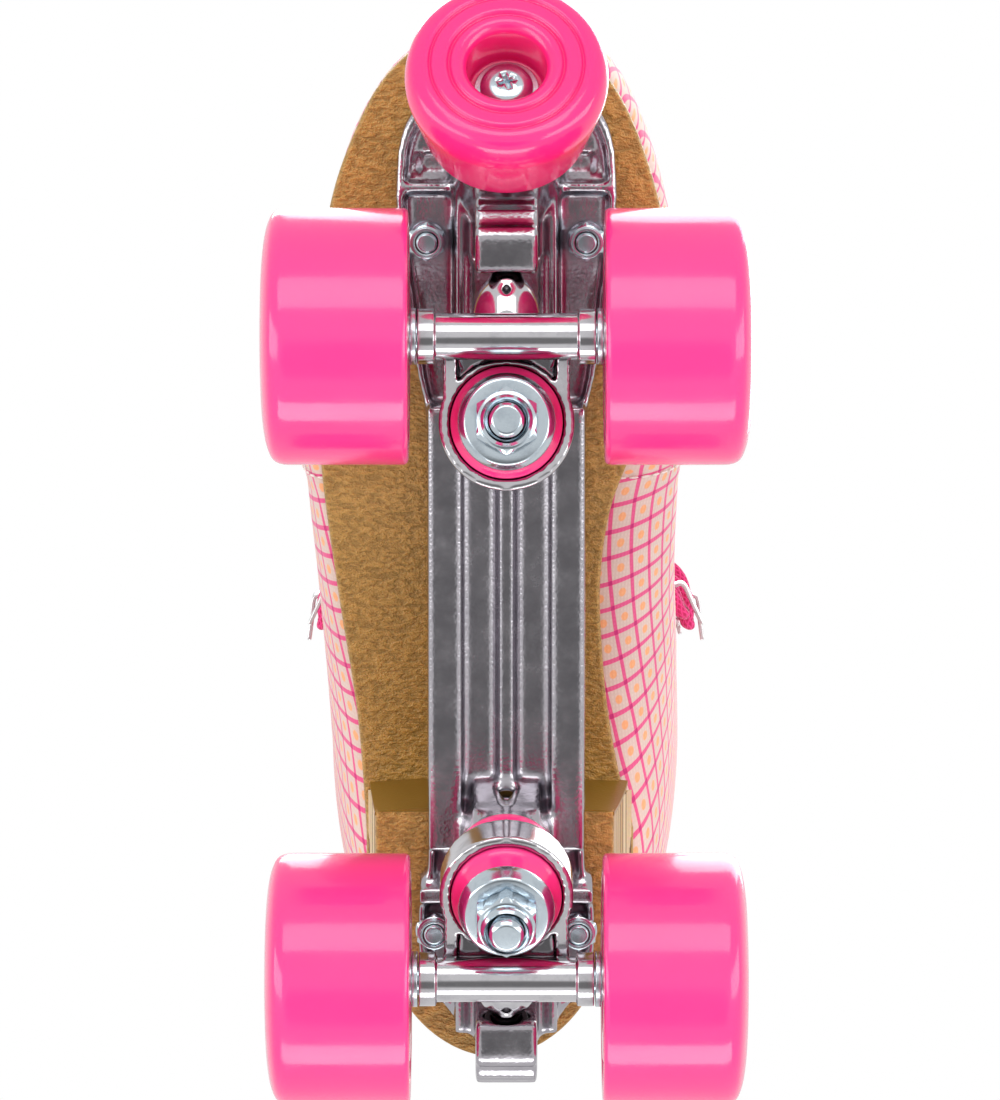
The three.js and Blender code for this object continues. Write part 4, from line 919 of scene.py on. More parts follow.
def stations_between(start, end, count):
    """Places along Y that crowd towards both ends, where an outline turns in."""
    return (start + end) / 2 - (end - start) / 2 * np.cos(np.linspace(0.02, math.pi - 0.02, count))


sole_outline = np.concatenate([heel_curve(33.5, 30.5, 107, 58)[1:-1], smooth_line(sole_edge)])
fitted(piece("crinkled_outsole", layered(
    sole_outline, stations_between(-141.9, 106.9, 170), lambda y: sole_height(y) - 4, lambda y: sole_height(y) - 0.3),
    sole_leather, 50), "boot_and_plate", "sole_leather", "outsole")


# ---- Heel ----
# A heel of stacked fibre layers, each about 2.4 mm, glued up and sanded to shape, with a smooth gold cover on
# its breast and a lift of the sole's leather under it. The layers show as beige and brown lines round its sides.
def stacked_board(name):
    made, tree = finish(name, IOR=1.45)
    where = on_object(tree)
    height = add(tree, "ShaderNodeSeparateXYZ", {0: where}).outputs["Z"]
    layer = calc(tree, "MULTIPLY", calc(tree, "MULTIPLY_ADD", noise(tree, where, 0.02), 0.0012, height), 1 / 0.0024)
    inside = calc(tree, "FRACT", layer)
    tint = add(tree, "ShaderNodeTexWhiteNoise", {"W": calc(tree, "FLOOR", layer)}, noise_dimensions="1D")
    fibre = add(tree, "ShaderNodeTexNoise", {"Vector": where, "Scale": 1 / 0.0009, "Detail": 5.0})
    glue = calc(tree, "LESS_THAN", inside, 0.24)
    lined = blend(tree, glue, blend(tree, tint.outputs["Value"], 0xD8C3A0, 0xB18E63), 0x6E5138)
    fibrous = blend(tree, 0.35, lined, fibre.outputs["Color"], blend_type="SOFT_LIGHT")
    return dressed(made, fibrous, calc(tree, "PINGPONG", inside, 0.5), 0.35, 0.0004,
                   ranged(tree, fibre.outputs["Fac"], 0.0, 1.0, 0.5, 0.75))


def smooth_leather(name, tint, deep, rough):
    made, tree = finish(name, IOR=1.48, Coat_Weight=0.3, Coat_Roughness=0.25)
    where = on_object(tree)
    patch = noise(tree, where, 0.02, 4.0)
    grain = add(tree, "ShaderNodeTexVoronoi", {"Vector": where, "Scale": 1 / 0.0006}, feature="SMOOTH_F1")
    return dressed(made, blend(tree, patch, tint, deep), grain.outputs["Distance"], 0.12, 0.0003,
                   ranged(tree, patch, 0.0, 1.0, rough - 0.06, rough + 0.12))


heel_board = stacked_board("stacked_fibre_board")
lift_low, lift_high = boot_seat, boot_seat + lift_thickness
heel_low_curve = heel_curve(31, 25.5, 105.9, 46)
heel_high_curve = heel_curve(33, 30, 106.4, 46)
heel_rows = []
for step in range(25):
    share = step / 24
    ring = heel_low_curve * (1 - share) + heel_high_curve * share
    ceiling = sole_height(ring[:, 1]) - 4.3
    heights = np.minimum(lift_high + 0.3 + share * (ball_z + heel_rise - 4.3 - lift_high), ceiling)
    waist = 1 - 0.035 * math.sin(math.pi * share)
    heel_rows.append(np.stack([ring[:, 0] * waist, 76 + (ring[:, 1] - 76) * waist, heights], 1))
heel_rows = np.array(heel_rows)
rows, count = heel_rows.shape[:2]
heel_faces = ring_faces(rows, count)
heel_faces += [tuple(range(count))[::-1], tuple(range((rows - 1) * count, rows * count))]
fitted(piece("stacked_heel", (heel_rows.reshape(-1, 3), heel_faces), heel_board, 40), "boot_and_plate",
       "stacked_leather", "heel_block")
fitted(piece("heel_lift_leather", layered(
    np.concatenate([heel_low_curve, heel_low_curve[:1]]), stations_between(46, 105.9, 80), lambda y: lift_low,
    lambda y: lift_high, 0.9), sole_leather, 50), "boot_and_plate", "sole_leather", "heel_lift")
gold_leather = smooth_leather("smooth_gold_leather", 0x9A7526, 0x7E5E1E, 0.3)
cover_columns = np.linspace(-1, 1, 31)
cover_rows = []
for share in np.linspace(0, 1, 14):
    z = lift_low + 0.6 + share * (sole_height(46) - 4.1 - lift_low)
    half_l, half_m = 31 + 1.6 * share, 25.5 + 3.6 * share
    x = (half_m - half_l) / 2 + (half_m + half_l) / 2 * cover_columns
    cover_rows.append(np.stack([x, 45.2 - 2.2 * share ** 3 + 0.9 * cover_columns ** 4, np.full(31, z)], 1))
cover_rows = np.array(cover_rows)
cover, _ = walled(cover_rows, cover_rows + [0, 0.9, 0])
fitted(piece("heel_breast_cover", cover, gold_leather, 60), "boot_and_plate", "sole_leather")


# ---- Upper ----
# A vamp and two quarters of printed canvas, lined, lasted and stitched: the quarters lap over the vamp and meet at
# the heel. The print is a check of pink lines on cream, darker where they cross, with an orange dot in each cell.
def printed_canvas(name):
    made, tree = finish(name, IOR=1.45, Sheen_Weight=0.25, Sheen_Roughness=0.5)
    place = add(tree, "ShaderNodeUVMap", uv_map="print").outputs[0]
    # The print map is in units of 100 mm, and its lines run a little askew to the boot.
    askew = add(tree, "ShaderNodeVectorRotate", {"Vector": place, "Angle": math.radians(9)}, rotation_type="Z_AXIS")
    wander = add(tree, "ShaderNodeTexNoise", {"Vector": place, "Scale": 4.0, "Detail": 1.0})
    drift = add(tree, "ShaderNodeVectorMath", {0: wander.outputs["Color"], "Scale": 0.012}, operation="SCALE")
    where = add(tree, "ShaderNodeVectorMath", {0: askew.outputs[0], 1: drift.outputs[0]}, operation="ADD")
    split = add(tree, "ShaderNodeSeparateXYZ", {0: where.outputs[0]})
    cell, line, dot, blur = 0.055, 0.0098, 0.0095, 0.0006
    from_centre, on_line = [], []
    for axis in ("X", "Y"):
        fold = calc(tree, "PINGPONG", split.outputs[axis], cell / 2)
        on_line.append(ranged(tree, fold, line / 2 - blur, line / 2 + blur, 1.0, 0.0))
        centre = calc(tree, "SUBTRACT", cell / 2, fold)
        from_centre.append(calc(tree, "MULTIPLY", centre, centre))
    dotted = ranged(tree, calc(tree, "ADD", *from_centre), (dot * 0.85) ** 2, (dot * 1.1) ** 2, 0.85, 0.0)
    fade = add(tree, "ShaderNodeTexNoise", {"Vector": place, "Scale": 9.0, "Detail": 4.0}).outputs["Fac"]
    inked = blend(tree, fade, 0xE3CCC1, 0xD3B8AD)
    for share, ink in ((dotted, 0xF7A869), (calc(tree, "MAXIMUM", *on_line), 0xE4568C),
                       (calc(tree, "MULTIPLY", *on_line), 0xC81E74)):
        inked = blend(tree, share, inked, ink)
    # Plain weave, a thread every 0.45 mm each way.
    threads = add(tree, "ShaderNodeVectorMath", {0: place, "Scale": 100 / 0.45}, operation="SCALE")
    each_way = add(tree, "ShaderNodeSeparateXYZ", {0: threads.outputs[0]})
    weave = calc(tree, "MULTIPLY", *[calc(tree, "PINGPONG", each_way.outputs[axis], 1.0) for axis in ("X", "Y")])
    return dressed(made, blend(tree, 0.12, inked, weave, blend_type="SOFT_LIGHT"), weave, 0.25, 0.0002,
                   ranged(tree, fade, 0.0, 1.0, 0.55, 0.8))


def brushed_lining(name, tint, deep):
    """A soft knitted lining with a short nap, about 0.8 mm."""
    made, tree = finish(name, Roughness=0.92, Sheen_Weight=0.6, Sheen_Roughness=0.4)
    where = on_object(tree)
    nap = noise(tree, where, 0.0008, 4.0)
    share = calc(tree, "MULTIPLY", nap, noise(tree, where, 0.012, 3.0))
    return dressed(made, blend(tree, share, tint, deep), nap, 0.4, 0.0006)


canvas = printed_canvas("printed_cotton_canvas")
lining = brushed_lining("brushed_knit_lining", 0xEBD3CE, 0xC9A7A2)
seam_place, collar_place = 5.72, 15


def throat_width(place):
    return np.interp(place, throat_places, throat_widths)


def panel(name, outer, inner, across_map, along_map, outside_finish, inside_finish, crease=50):
    """A sewn panel between two grids, with its print map in mm across and along it at each point."""
    shape, outside = walled(outer, inner)
    mesh = mesh_of(name, shape)
    print_map = mesh.uv_layers.new(name="print")
    along_map = np.broadcast_to(np.asarray(along_map).reshape(len(outer), -1), outer.shape[:2])
    run = np.stack([across_map, along_map], 2).reshape(-1, 2) * 0.01
    run = np.concatenate([run, run])
    corners = np.array([loop.vertex_index for loop in mesh.loops])
    print_map.data.foreach_set("uv", run[corners].astype(np.float32).ravel())
    mesh.materials.append(outside_finish)
    mesh.materials.append(inside_finish)
    mesh.polygons.foreach_set("material_index", [0 if k < outside or k >= 2 * outside else 1
                                                 for k in range(len(mesh.polygons))])
    cleaned(mesh, crease)
    return shown(name, mesh)


def run_along(grid):
    """How far each row of a grid lies along it, measured down its middle column."""
    return lengths_along(grid[:, grid.shape[1] // 2])


wall = 3.2
vamp_places = np.concatenate([np.linspace(0, 1, 9)[:-1], np.linspace(1, seam_place + 0.1, 44)])
vamp_grid = []
for place in vamp_places:
    halves = [girth(place, side, math.pi - 0.001, 46, 12)[0] for side in (1, -1)]
    vamp_grid.append(np.concatenate([halves[0], halves[1][::-1][1:]]))
tip, toe_ring = vamp_grid[0].mean(0), vamp_grid[0]
for share in (0.8, 0.5, 0.15):
    vamp_grid.insert(0, tip + (toe_ring - tip) * share + [0, -1.6 * (1 - share ** 2), 0])
vamp_grid = np.array(vamp_grid)
# It is lasted tighter round the outer side of the toe, just inside the sole's edge.
tighter = np.clip((-48 - vamp_grid[:, :, 1]) / 32, 0, 1) * np.clip((6 - vamp_grid[:, :, 0]) / 26, 0, 1)
from_middle = vamp_grid[:, :, :2] - [-2, -80]
vamp_grid[:, :, :2] -= 2.3 * tighter[:, :, None] * from_middle / np.maximum(
    np.linalg.norm(from_middle, axis=2)[:, :, None], 20)
vamp_normal = outward(vamp_grid, vamp_grid.mean((0, 1)))
# Over the toe the print is laid out from the top of the vamp, outwards and down, as cloth falls over a dome.
top_line = vamp_grid[:, 45]
crest = top_line[np.argmin(np.abs(top_line[:, 1] + 70) + 50 * (top_line[:, 2] < 90))]
spread = vamp_grid[:, :, :2] - crest[:2]
reach = np.maximum(np.linalg.norm(spread, axis=2), 1e-6)
stretched = (reach + 0.62 * np.maximum(crest[2] - vamp_grid[:, :, 2], 0)) / reach
vamp_map = spread * stretched[:, :, None]
fitted(panel("vamp_canvas", vamp_grid, vamp_grid - vamp_normal * wall, vamp_map[:, :, 0], vamp_map[:, :, 1],
             canvas, lining), "boot_and_plate", "printed_upper", "vamp")

quarter_places = np.concatenate([np.linspace(seam_place, 6.6, 16)[:-1], np.linspace(6.6, collar_place, 92)])
quarter_edge = {}
for name, side in (("medial", 1), ("lateral", -1)):
    grid, lengths = [], []
    for place in quarter_places:
        end = math.pi - 0.001 if place < 5.9 else edge_angle(place, throat_width(place), side)
        line, along_line = girth(place, side, end, 64, 12)
        grid.append(line)
        lengths.append(along_line)
    grid = np.array(grid)
    normal = outward(grid, np.array([0, grid[:, :, 1].mean(), grid[:, :, 2].mean()]))
    lap = np.clip((6.15 - quarter_places) / 0.3, 0, 1)[:, None, None]
    outer = grid + normal * 1.2 * lap
    inner = grid - normal * (wall - (wall - 0.1) * lap)
    quarter_edge[side] = (grid, normal)
    fitted(panel(f"quarter_canvas_{name}", outer, inner, np.array(lengths) * side, run_along(grid),
                 canvas, lining), "boot_and_plate", "printed_upper", f"quarter_{name}")


# ---- Binding, seams and stitches ----
# The collar and throat are bound with a folded pink tape, and every panel edge is sewn down with one or two rows
# of thread, a stitch every 3 mm. The thread is bonded polyester, a little glossy.
def woven_tape(name, tint, deep):
    made, tree = finish(name, Roughness=0.7, Sheen_Weight=0.4, Sheen_Roughness=0.4)
    where = on_object(tree)
    rib = noise(tree, where, 0.0007, 3.0)
    share = calc(tree, "MULTIPLY", rib, noise(tree, where, 0.01))
    return dressed(made, blend(tree, share, tint, deep), rib, 0.35, 0.0004)


pink_tape = woven_tape("woven_edge_tape", 0xF0478F, 0xC4205F)
stitch_thread = woven_tape("bonded_thread", 0xF7EDE6, 0xCDBBB0)


def swept(path, outward_path, wide, tall, sides=12):
    """A cord or tape along a path: an oval section, its width across the path and its height outwards."""
    path = np.asarray(path, float)
    heading = np.gradient(path, axis=0)
    heading /= np.linalg.norm(heading, axis=1, keepdims=True)
    up = outward_path - heading * np.sum(outward_path * heading, axis=1, keepdims=True)
    up /= np.linalg.norm(up, axis=1, keepdims=True)
    beside = np.cross(heading, up)
    turns = np.arange(sides) * 2 * math.pi / sides
    rings = (path[:, None] + beside[:, None] * (np.cos(turns) * wide / 2)[None, :, None]
             + up[:, None] * (np.sin(turns) * tall / 2)[None, :, None])
    faces = ring_faces(len(path), sides)
    faces += [tuple(range(sides))[::-1], tuple(range((len(path) - 1) * sides, len(path) * sides))]
    return rings.reshape(-1, 3), faces


medial_grid, medial_normal = quarter_edge[1]
lateral_grid, lateral_normal = quarter_edge[-1]
throat_rows = np.flatnonzero(quarter_places > 5.95)
rim_line, rim_out = [np.concatenate([
    medial[throat_rows, -1], medial[-1, ::-1][1:], lateral[-1][1:], lateral[throat_rows[::-1], -1][1:],
]) for medial, lateral in ((medial_grid, lateral_grid), (medial_normal, lateral_normal))]
fitted(piece("edge_binding", swept(rim_line - rim_out * wall / 2, rim_out, 2.6, wall + 1.3), pink_tape, 60),
       "boot_and_plate", "lace")


def beside_edge(grid, normal, rows, inset):
    """A line a distance in from the last column of a grid, just off its surface."""
    line, facing = [], []
    for r in rows:
        lengths = lengths_along(grid[r, ::-1])
        line.append([np.interp(inset, lengths, grid[r, ::-1, k]) for k in range(3)])
        facing.append([np.interp(inset, lengths, normal[r, ::-1, k]) for k in range(3)])
    return np.array(line) + np.array(facing) * 0.1


def laying_tree(name, output, **inputs):
    """A node tree that lays things on curves or points: the tree, and what it is given."""
    tree = bpy.data.node_groups.new(name, "GeometryNodeTree")
    for label, kind in inputs.items():
        tree.interface.new_socket(name=label, in_out="INPUT", socket_type="NodeSocket" + kind)
    tree.interface.new_socket(name=output, in_out="OUTPUT", socket_type="NodeSocketGeometry")
    return tree, add(tree, "NodeGroupInput").outputs


def laid_out(tree, given, output, inputs):
    """Ends such a tree: one thing on each point, made real, smooth and in the given finish."""
    laid = add(tree, "GeometryNodeInstanceOnPoints", inputs)
    real = add(tree, "GeometryNodeRealizeInstances", {0: laid.outputs[0]})
    smooth = add(tree, "GeometryNodeSetShadeSmooth", {0: real.outputs[0]})
    painted = add(tree, "GeometryNodeSetMaterial", {0: smooth.outputs[0], "Material": given["Finish"]})
    add(tree, "NodeGroupOutput", {output: painted.outputs[0]})
    return tree


def sewing_tree():
    """Lays one rounded stitch after another along curves."""
    tree, given = laying_tree("sewing", "Stitches", Seam="Geometry", Spacing="Float", Thread="Float",
                              Finish="Material")
    spaced = add(tree, "GeometryNodeCurveToPoints", {"Curve": given["Seam"], "Length": given["Spacing"]},
                 mode="LENGTH").outputs
    bead = add(tree, "GeometryNodeMeshUVSphere", {"Segments": 6, "Rings": 5, "Radius": 0.5})
    long = calc(tree, "MULTIPLY", given["Spacing"], 0.82)
    size = add(tree, "ShaderNodeCombineXYZ", {0: given["Thread"], 1: given["Thread"], 2: long})
    return laid_out(tree, given, "Stitches", {
        "Points": spaced["Points"], "Instance": bead.outputs["Mesh"], "Rotation": spaced["Rotation"],
        "Scale": size.outputs[0]})


def grown(name, source, tree, **values):
    """The plain mesh that a node tree makes from an object, with the tree's named inputs set first."""
    modifier = source.modifiers.new("grow", "NODES")
    modifier.node_group = tree
    for item in tree.interface.items_tree:
        if item.in_out == "INPUT" and item.name in values:
            modifier[item.identifier] = values[item.name]
    bpy.context.view_layer.update()
    mesh = bpy.data.meshes.new_from_object(source.evaluated_get(bpy.context.evaluated_depsgraph_get()))
    mesh.name = name
    made = shown(name, mesh)
    bpy.data.objects.remove(source)
    return made


def seam_curves(name, lines):
    curve = bpy.data.curves.new(name, "CURVE")
    curve.dimensions = "3D"
    for line in lines:
        spline = curve.splines.new("POLY")
        spline.points.add(len(line) - 1)
        for point, place in zip(spline.points, line):
            point.co = (*placed(place), 1)
    return shown(name, curve)


sewing = sewing_tree()
seams = []
for grid, normal in quarter_edge.values():
    rows = throat_rows[2:]
    seams += [beside_edge(grid, normal, rows, inset) for inset in (2.4, 11.5, 13.2)]
    seams.append(grid[-3, 3:-2] + normal[-3, 3:-2] * 0.1)
    seams += [grid[row, 6:] + normal[row, 6:] * 1.3 for row in (1, 4)]
stitching = {"Spacing": 0.003, "Thread": 0.0006, "Finish": stitch_thread}
stitches = grown("panel_stitches", seam_curves("panel_seams", seams), sewing, **stitching)
fitted(stitches, "boot_and_plate", "lace")


# ---- Backstay ----
# A strip of the same canvas over the joint of the quarters at the heel, sewn down both long edges.
# It runs from above the heel seat to the collar.
stay_places = np.linspace(10.75, collar_place - 0.02, 46)
stay_half, stay_grid = 9, []
for place in stay_places:
    halves = [last_points(place, np.linspace(0, math.pi / 2, 200), side) for side in (1, -1)]
    line = np.concatenate([halves[0][::-1], halves[1]])
    line = line[np.argsort(line[:, 0])]
    x = np.linspace(-stay_half, stay_half, 15)
    stay_grid.append(np.stack([x, np.interp(x, line[:, 0], line[:, 1]), np.interp(x, line[:, 0], line[:, 2])], 1))
stay_grid = np.array(stay_grid)
stay_normal = outward(stay_grid, np.array([0, 60, stay_grid[:, :, 2].mean()]))
taper = np.clip(1 - np.abs(np.linspace(-1, 1, 15)) ** 14, 0.25, 1)[None, :, None]
stay = panel("backstay_strip", stay_grid + stay_normal * (0.3 + 1.3 * taper), stay_grid + stay_normal * 0.2,
             np.repeat(np.linspace(-stay_half, stay_half, 15)[None], 46, 0), run_along(stay_grid), canvas, canvas)
fitted(stay, "boot_and_plate", "printed_upper", "backstay")
stay_seams = [(stay_grid + stay_normal * 1.7)[1:, column] for column in (1, 13)]
fitted(grown("backstay_stitches", seam_curves("backstay_seams", stay_seams), sewing, **stitching),
       "boot_and_plate", "lace")


# ---- Tongue ----
# A padded tongue of printed canvas over foam, lined with knit and quilted by two seams down its length.
# It lies inside the throat and stands a little above the collar.
tongue_foot, tongue_top = 5.75, 15.98
tongue_places = np.linspace(tongue_foot, tongue_top, 96)
tongue_grid, tongue_lengths = [], []
for place in tongue_places:
    half = throat_width(max(place, 5.9)) + 3.6
    line = []
    for side in (1, -1):
        angles = np.linspace(edge_angle(place, half, side), math.pi - 0.0005, 260)
        half_line = evenly(last_points(place, angles, side), 22)[0]
        line.append(half_line if side > 0 else half_line[::-1][1:])
    line = np.concatenate(line)
    tongue_grid.append(line)
    tongue_lengths.append(lengths_along(line))
tongue_grid = np.array(tongue_grid)
# Its top edge is cut to a curve, highest in the middle.
for column, share in enumerate(np.linspace(-1, 1, tongue_grid.shape[1])):
    rows = tongue_foot + (tongue_places - tongue_foot) * (1 - 0.105 * abs(share) ** 3.2)
    tongue_grid[:, column] = np.stack([np.interp(rows, tongue_places, tongue_grid[:, column, k]) for k in range(3)], 1)
tongue_normal = outward(tongue_grid, np.array([0, 60, 120]))
spread = np.linspace(-1, 1, tongue_grid.shape[1])
quilt = (1 - np.abs(spread) ** 5) * (1 - 0.5 * np.exp(-((np.abs(spread) - 0.42) / 0.05) ** 2))
ends = np.clip(np.minimum((tongue_places - tongue_foot) / 0.5, (tongue_top - tongue_places) / 0.35), 0, 1) ** 0.5
crown = quilt[None, :] * ends[:, None]
tongue_out = tongue_grid - tongue_normal * (5.4 - 1.9 * crown)[:, :, None]
tongue_in = tongue_grid - tongue_normal * (6.2 + 2.2 * crown)[:, :, None]
tongue = panel("padded_tongue", tongue_out, tongue_in, np.array(tongue_lengths), run_along(tongue_grid), canvas, lining)
fitted(tongue, "boot_and_plate", "printed_upper", "tongue")
tongue_rim, tongue_rim_out = [np.concatenate([grid[20:, 0], grid[-1, 1:-1], grid[20:, -1][::-1]])
                              for grid in (tongue_grid, tongue_normal)]
fitted(piece("tongue_binding", swept(tongue_rim - tongue_rim_out * 5.8, tongue_rim_out, 2.2, 2.6), pink_tape, 60),
       "boot_and_plate", "lace")


# ---- Collar pad and footbed ----
# Foam under the lining makes a soft cuff round the ankle, sewn through in two rows; the footbed is a thin foam
# insole covered with the same knit, over a fibreboard insole that the sole is lasted to.
def collar_crown(share):
    return np.maximum(np.sin(math.pi * np.clip(share, 0, 1)), 0) ** 0.45


pad_places = np.linspace(12.15, collar_place - 0.03, 44)
pad_grid = []
for place in pad_places:
    line = []
    for side in (1, -1):
        end = edge_angle(place, throat_width(place) + 4.6, side)
        half_line = girth(place, side, end, 40)[0]
        half_line[0, 0] = 0
        line.append(half_line[::-1] if side > 0 else half_line[1:])
    pad_grid.append(np.concatenate(line))
pad_grid = np.array(pad_grid)
pad_normal = outward(pad_grid, np.array([0, 60, pad_grid[:, :, 2].mean()]))
pad_share = np.linspace(0, 1, 44)
around_share = np.linspace(0, 1, pad_grid.shape[1])
pad_crown = collar_crown(pad_share)[:, None] * collar_crown(around_share * 0.98 + 0.01)[None, :] ** 0.35
for seam in (0.36, 0.68):
    pad_crown *= 1 - 0.45 * np.exp(-((pad_share[:, None] - seam) / 0.03) ** 2)
pad = panel("collar_cuff", pad_grid - pad_normal * 3.9, pad_grid - pad_normal * (4.9 + 5.9 * pad_crown)[:, :, None],
            np.zeros(pad_grid.shape[:2]), np.zeros(44), lining, lining, crease=70)
fitted(pad, "boot_and_plate", "lining", "collar_pad")

foot_edge = {side: [] for side in (1, -1)}
for place in (1.5, 2, 3, 4, 5, 6, 7, 8, 9, 9.4, 9.7):
    row = last_row(place)
    for side, half, flat in ((1, row[6], row[8]), (-1, row[5], row[7])):
        foot_edge[side].append((side * (half * flat - 3.6), row[0]))
heel_tip = (0, foot_edge[1][-1][1] + 9)
foot_outline = smooth_line([*foot_edge[1], heel_tip, *foot_edge[-1][::-1]], 6, True)
foot_ends = foot_outline[:, 1].min() + 0.3, foot_outline[:, 1].max() - 0.3
footbed = piece("knit_footbed", layered(
    foot_outline, stations_between(*foot_ends, 90), lambda y: sole_height(y) + wall + 2.6,
    lambda y: sole_height(y) + wall + 6.1, 1.4), lining, 60)
fitted(footbed, "boot_and_plate", "lining", "footbed")

fibreboard = stacked_board("lasting_fibreboard")
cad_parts["insole_board"].data.materials.clear()
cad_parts["insole_board"].data.materials.append(fibreboard)


# ---- Eyelets and speed hooks ----
# Six pairs of pink enamelled brass eyelets are set along the facings, and above them two pairs of hooks bent from
# bright steel strip, each riveted through a flat foot.
def beside_throat(place, side, inset):
    """A point behind the edge of the throat, with the outward and upward directions of the boot there."""
    def at(where):
        edge = edge_angle(where, throat_width(where), side)
        angles = np.linspace(edge, edge - 1.2, 400)
        line = last_points(where, angles, side)
        return np.interp(inset, lengths_along(line), angles)
    angle = at(place)
    here = last_points(place, [angle, angle - 0.05], side)
    point = here[0]
    above = last_points(place + 0.1, [angle], side)[0] - point
    normal = np.cross(here[1] - point, above)
    normal /= np.linalg.norm(normal)
    if normal[1] > 0:
        normal = -normal
    return point, normal, above / np.linalg.norm(above)


eyelet_places = [6.7, 7.3, 7.9, 8.6, 9.4, 10.2]
hook_places = [10.9, 12.5]
enamel = cast_urethane("enamelled_eyelet", 0xF24C92, 0xD02A6E)
eyelet_points = [beside_throat(place, side, 6)[:2] for place in eyelet_places for side in (1, -1)]
spots = bpy.data.meshes.new("eyelet_spots")
spots.from_pydata([placed(point + normal * 0.15) for point, normal in eyelet_points], [], [])
facing = spots.attributes.new("facing", "FLOAT_VECTOR", "POINT")
facing.data.foreach_set("vector", np.array([normal for _, normal in eyelet_points], np.float32).ravel())
spot_object = shown("eyelet_spots", spots)


def eyelet_tree():
    """Sets a rolled ring on each point, square to the surface there."""
    tree, given = laying_tree("eyelets", "Eyelets", Spots="Geometry", Hole="Float", Roll="Float", Finish="Material")
    hoop = add(tree, "GeometryNodeCurvePrimitiveCircle", {"Resolution": 28, "Radius": given["Hole"]})
    section = add(tree, "GeometryNodeCurvePrimitiveCircle", {"Resolution": 8, "Radius": given["Roll"]})
    ring = add(tree, "GeometryNodeCurveToMesh", {"Curve": hoop.outputs[0], "Profile Curve": section.outputs[0]})
    facing_out = add(tree, "GeometryNodeInputNamedAttribute", {"Name": "facing"}, data_type="FLOAT_VECTOR")
    square = add(tree, "FunctionNodeAlignRotationToVector", {"Vector": facing_out.outputs[0]}, axis="Z")
    return laid_out(tree, given, "Eyelets", {"Points": given["Spots"], "Instance": ring.outputs[0],
                                             "Rotation": square.outputs[0]})


fitted(grown("eyelet_rings", spot_object, eyelet_tree(), Hole=0.0028, Roll=0.0008, Finish=enamel),
       "boot_and_plate", "zinc_steel")

hook_steel = plated_metal("nickel_plated_strip", 0xE4E4E4, 0.34)
hook_line = smooth_line([(5, 0.5), (0, 0.5), (-3, 0.55), (-4.1, 1.6), (-4.1, 4.4), (-3.6, 6.5), (-2, 7.0), (2.4, 6.3),
                         (7.9, 5.6)], 5)
heading = np.gradient(hook_line, axis=0)
heading /= np.linalg.norm(heading, axis=1, keepdims=True)
half_strip = np.stack([-heading[:, 1], heading[:, 0]], 1) * 0.5
outline = np.concatenate([hook_line + half_strip, (hook_line - half_strip)[::-1]])
hook_shape = joined(
    prism([tuple(p) for p in outline], -3, 3),
    set_in(turned([(0, 0.6), (1.7, 0.6), (1.6, 1.3, 0.4), (0, 1.7)], 24),
           Matrix.Translation((1.6, 0, 0)) @ Matrix.Rotation(-math.pi / 2, 4, "X")))
for side, side_name in ((1, "medial"), (-1, "lateral")):
    for level, place in zip(("lower", "upper"), hook_places):
        point, normal, up = beside_throat(place, side, 10)
        back = np.cross(up, normal)
        back /= np.linalg.norm(back)
        back = -back if back[1] < 0 else back
        width = np.cross(back, normal)
        basis = Matrix.Translation(point + normal * 1.2) @ Matrix((back, normal, width)).transposed().to_4x4()
        hook = piece(f"speed_hook_{side_name}_{level}", set_in(hook_shape, basis), hook_steel, 40)
        soft = hook.modifiers.new("edges", "BEVEL")
        soft.width, soft.segments, soft.limit_method = 0.00022, 2, "ANGLE"
        settled(hook)
        fitted(hook, "boot_and_plate", "zinc_steel", f"hook_{side_name}_{level}")


# ---- Lace ----
# One braided lace, laced criss-cross through the eyelets and round the hooks, with its ends tucked behind the
# tongue's top. It is a tubular braid about 3.5 mm wide, pulled a little flat, in the wheels' pink.
def braided_cord(name):
    made, tree = finish(name, Roughness=0.75, Sheen_Weight=0.35, Sheen_Roughness=0.4)
    place = add(tree, "ShaderNodeUVMap", uv_map="print").outputs[0]
    split = add(tree, "ShaderNodeSeparateXYZ", {0: place}).outputs
    # Strands cross at about 45 degrees, eight round the lace and one every 2 mm along it.
    braid = calc(tree, "MAXIMUM", *[
        calc(tree, "PINGPONG", calc(tree, "MULTIPLY_ADD", split["X"], 8.0 * sign, split["Y"]), 0.5)
        for sign in (1.0, -1.0)])
    return dressed(made, blend(tree, ranged(tree, braid, 0.2, 0.5), 0xC9125B, 0xF53F8D), braid, 0.6, 0.0007)


lace_places = eyelet_places + hook_places
lace_off = 3.75


def lace_anchor(level, side):
    place = lace_places[level]
    if level < len(eyelet_places):
        point, normal, _ = beside_throat(place, side, 6)
        return [point + normal * lace_off]
    point, normal, up = beside_throat(place, side, 11.6)
    over = beside_throat(place, side, 1)
    curl = [point + normal * 4.2 + up * climb for climb in (-6, 0, 6)]
    edge = [over[0] + over[1] * 5.25 + over[2] * climb for climb in (-9, 9)]
    return [edge[0], *curl, edge[1]]


def lace_crossing(place, extra):
    here = last_points(place, [math.pi - 0.05, math.pi - 0.1], 1)
    above = last_points(place + 0.1, [math.pi - 0.05], 1)[0] - here[0]
    normal = np.cross(here[1] - here[0], above)
    normal = -normal if normal[1] > 0 else normal
    normal = normal / np.linalg.norm(normal)
    return np.array([0, here[0][1], here[0][2]]) + normal * (lace_off + extra)


def lace_strand(start_side, extra):
    strand, side = [], start_side
    for level, place in enumerate(lace_places):
        strand += lace_anchor(level, side)
        if level + 1 < len(lace_places):
            strand.append(lace_crossing((place + lace_places[level + 1]) / 2, extra))
        side = -side
    return strand


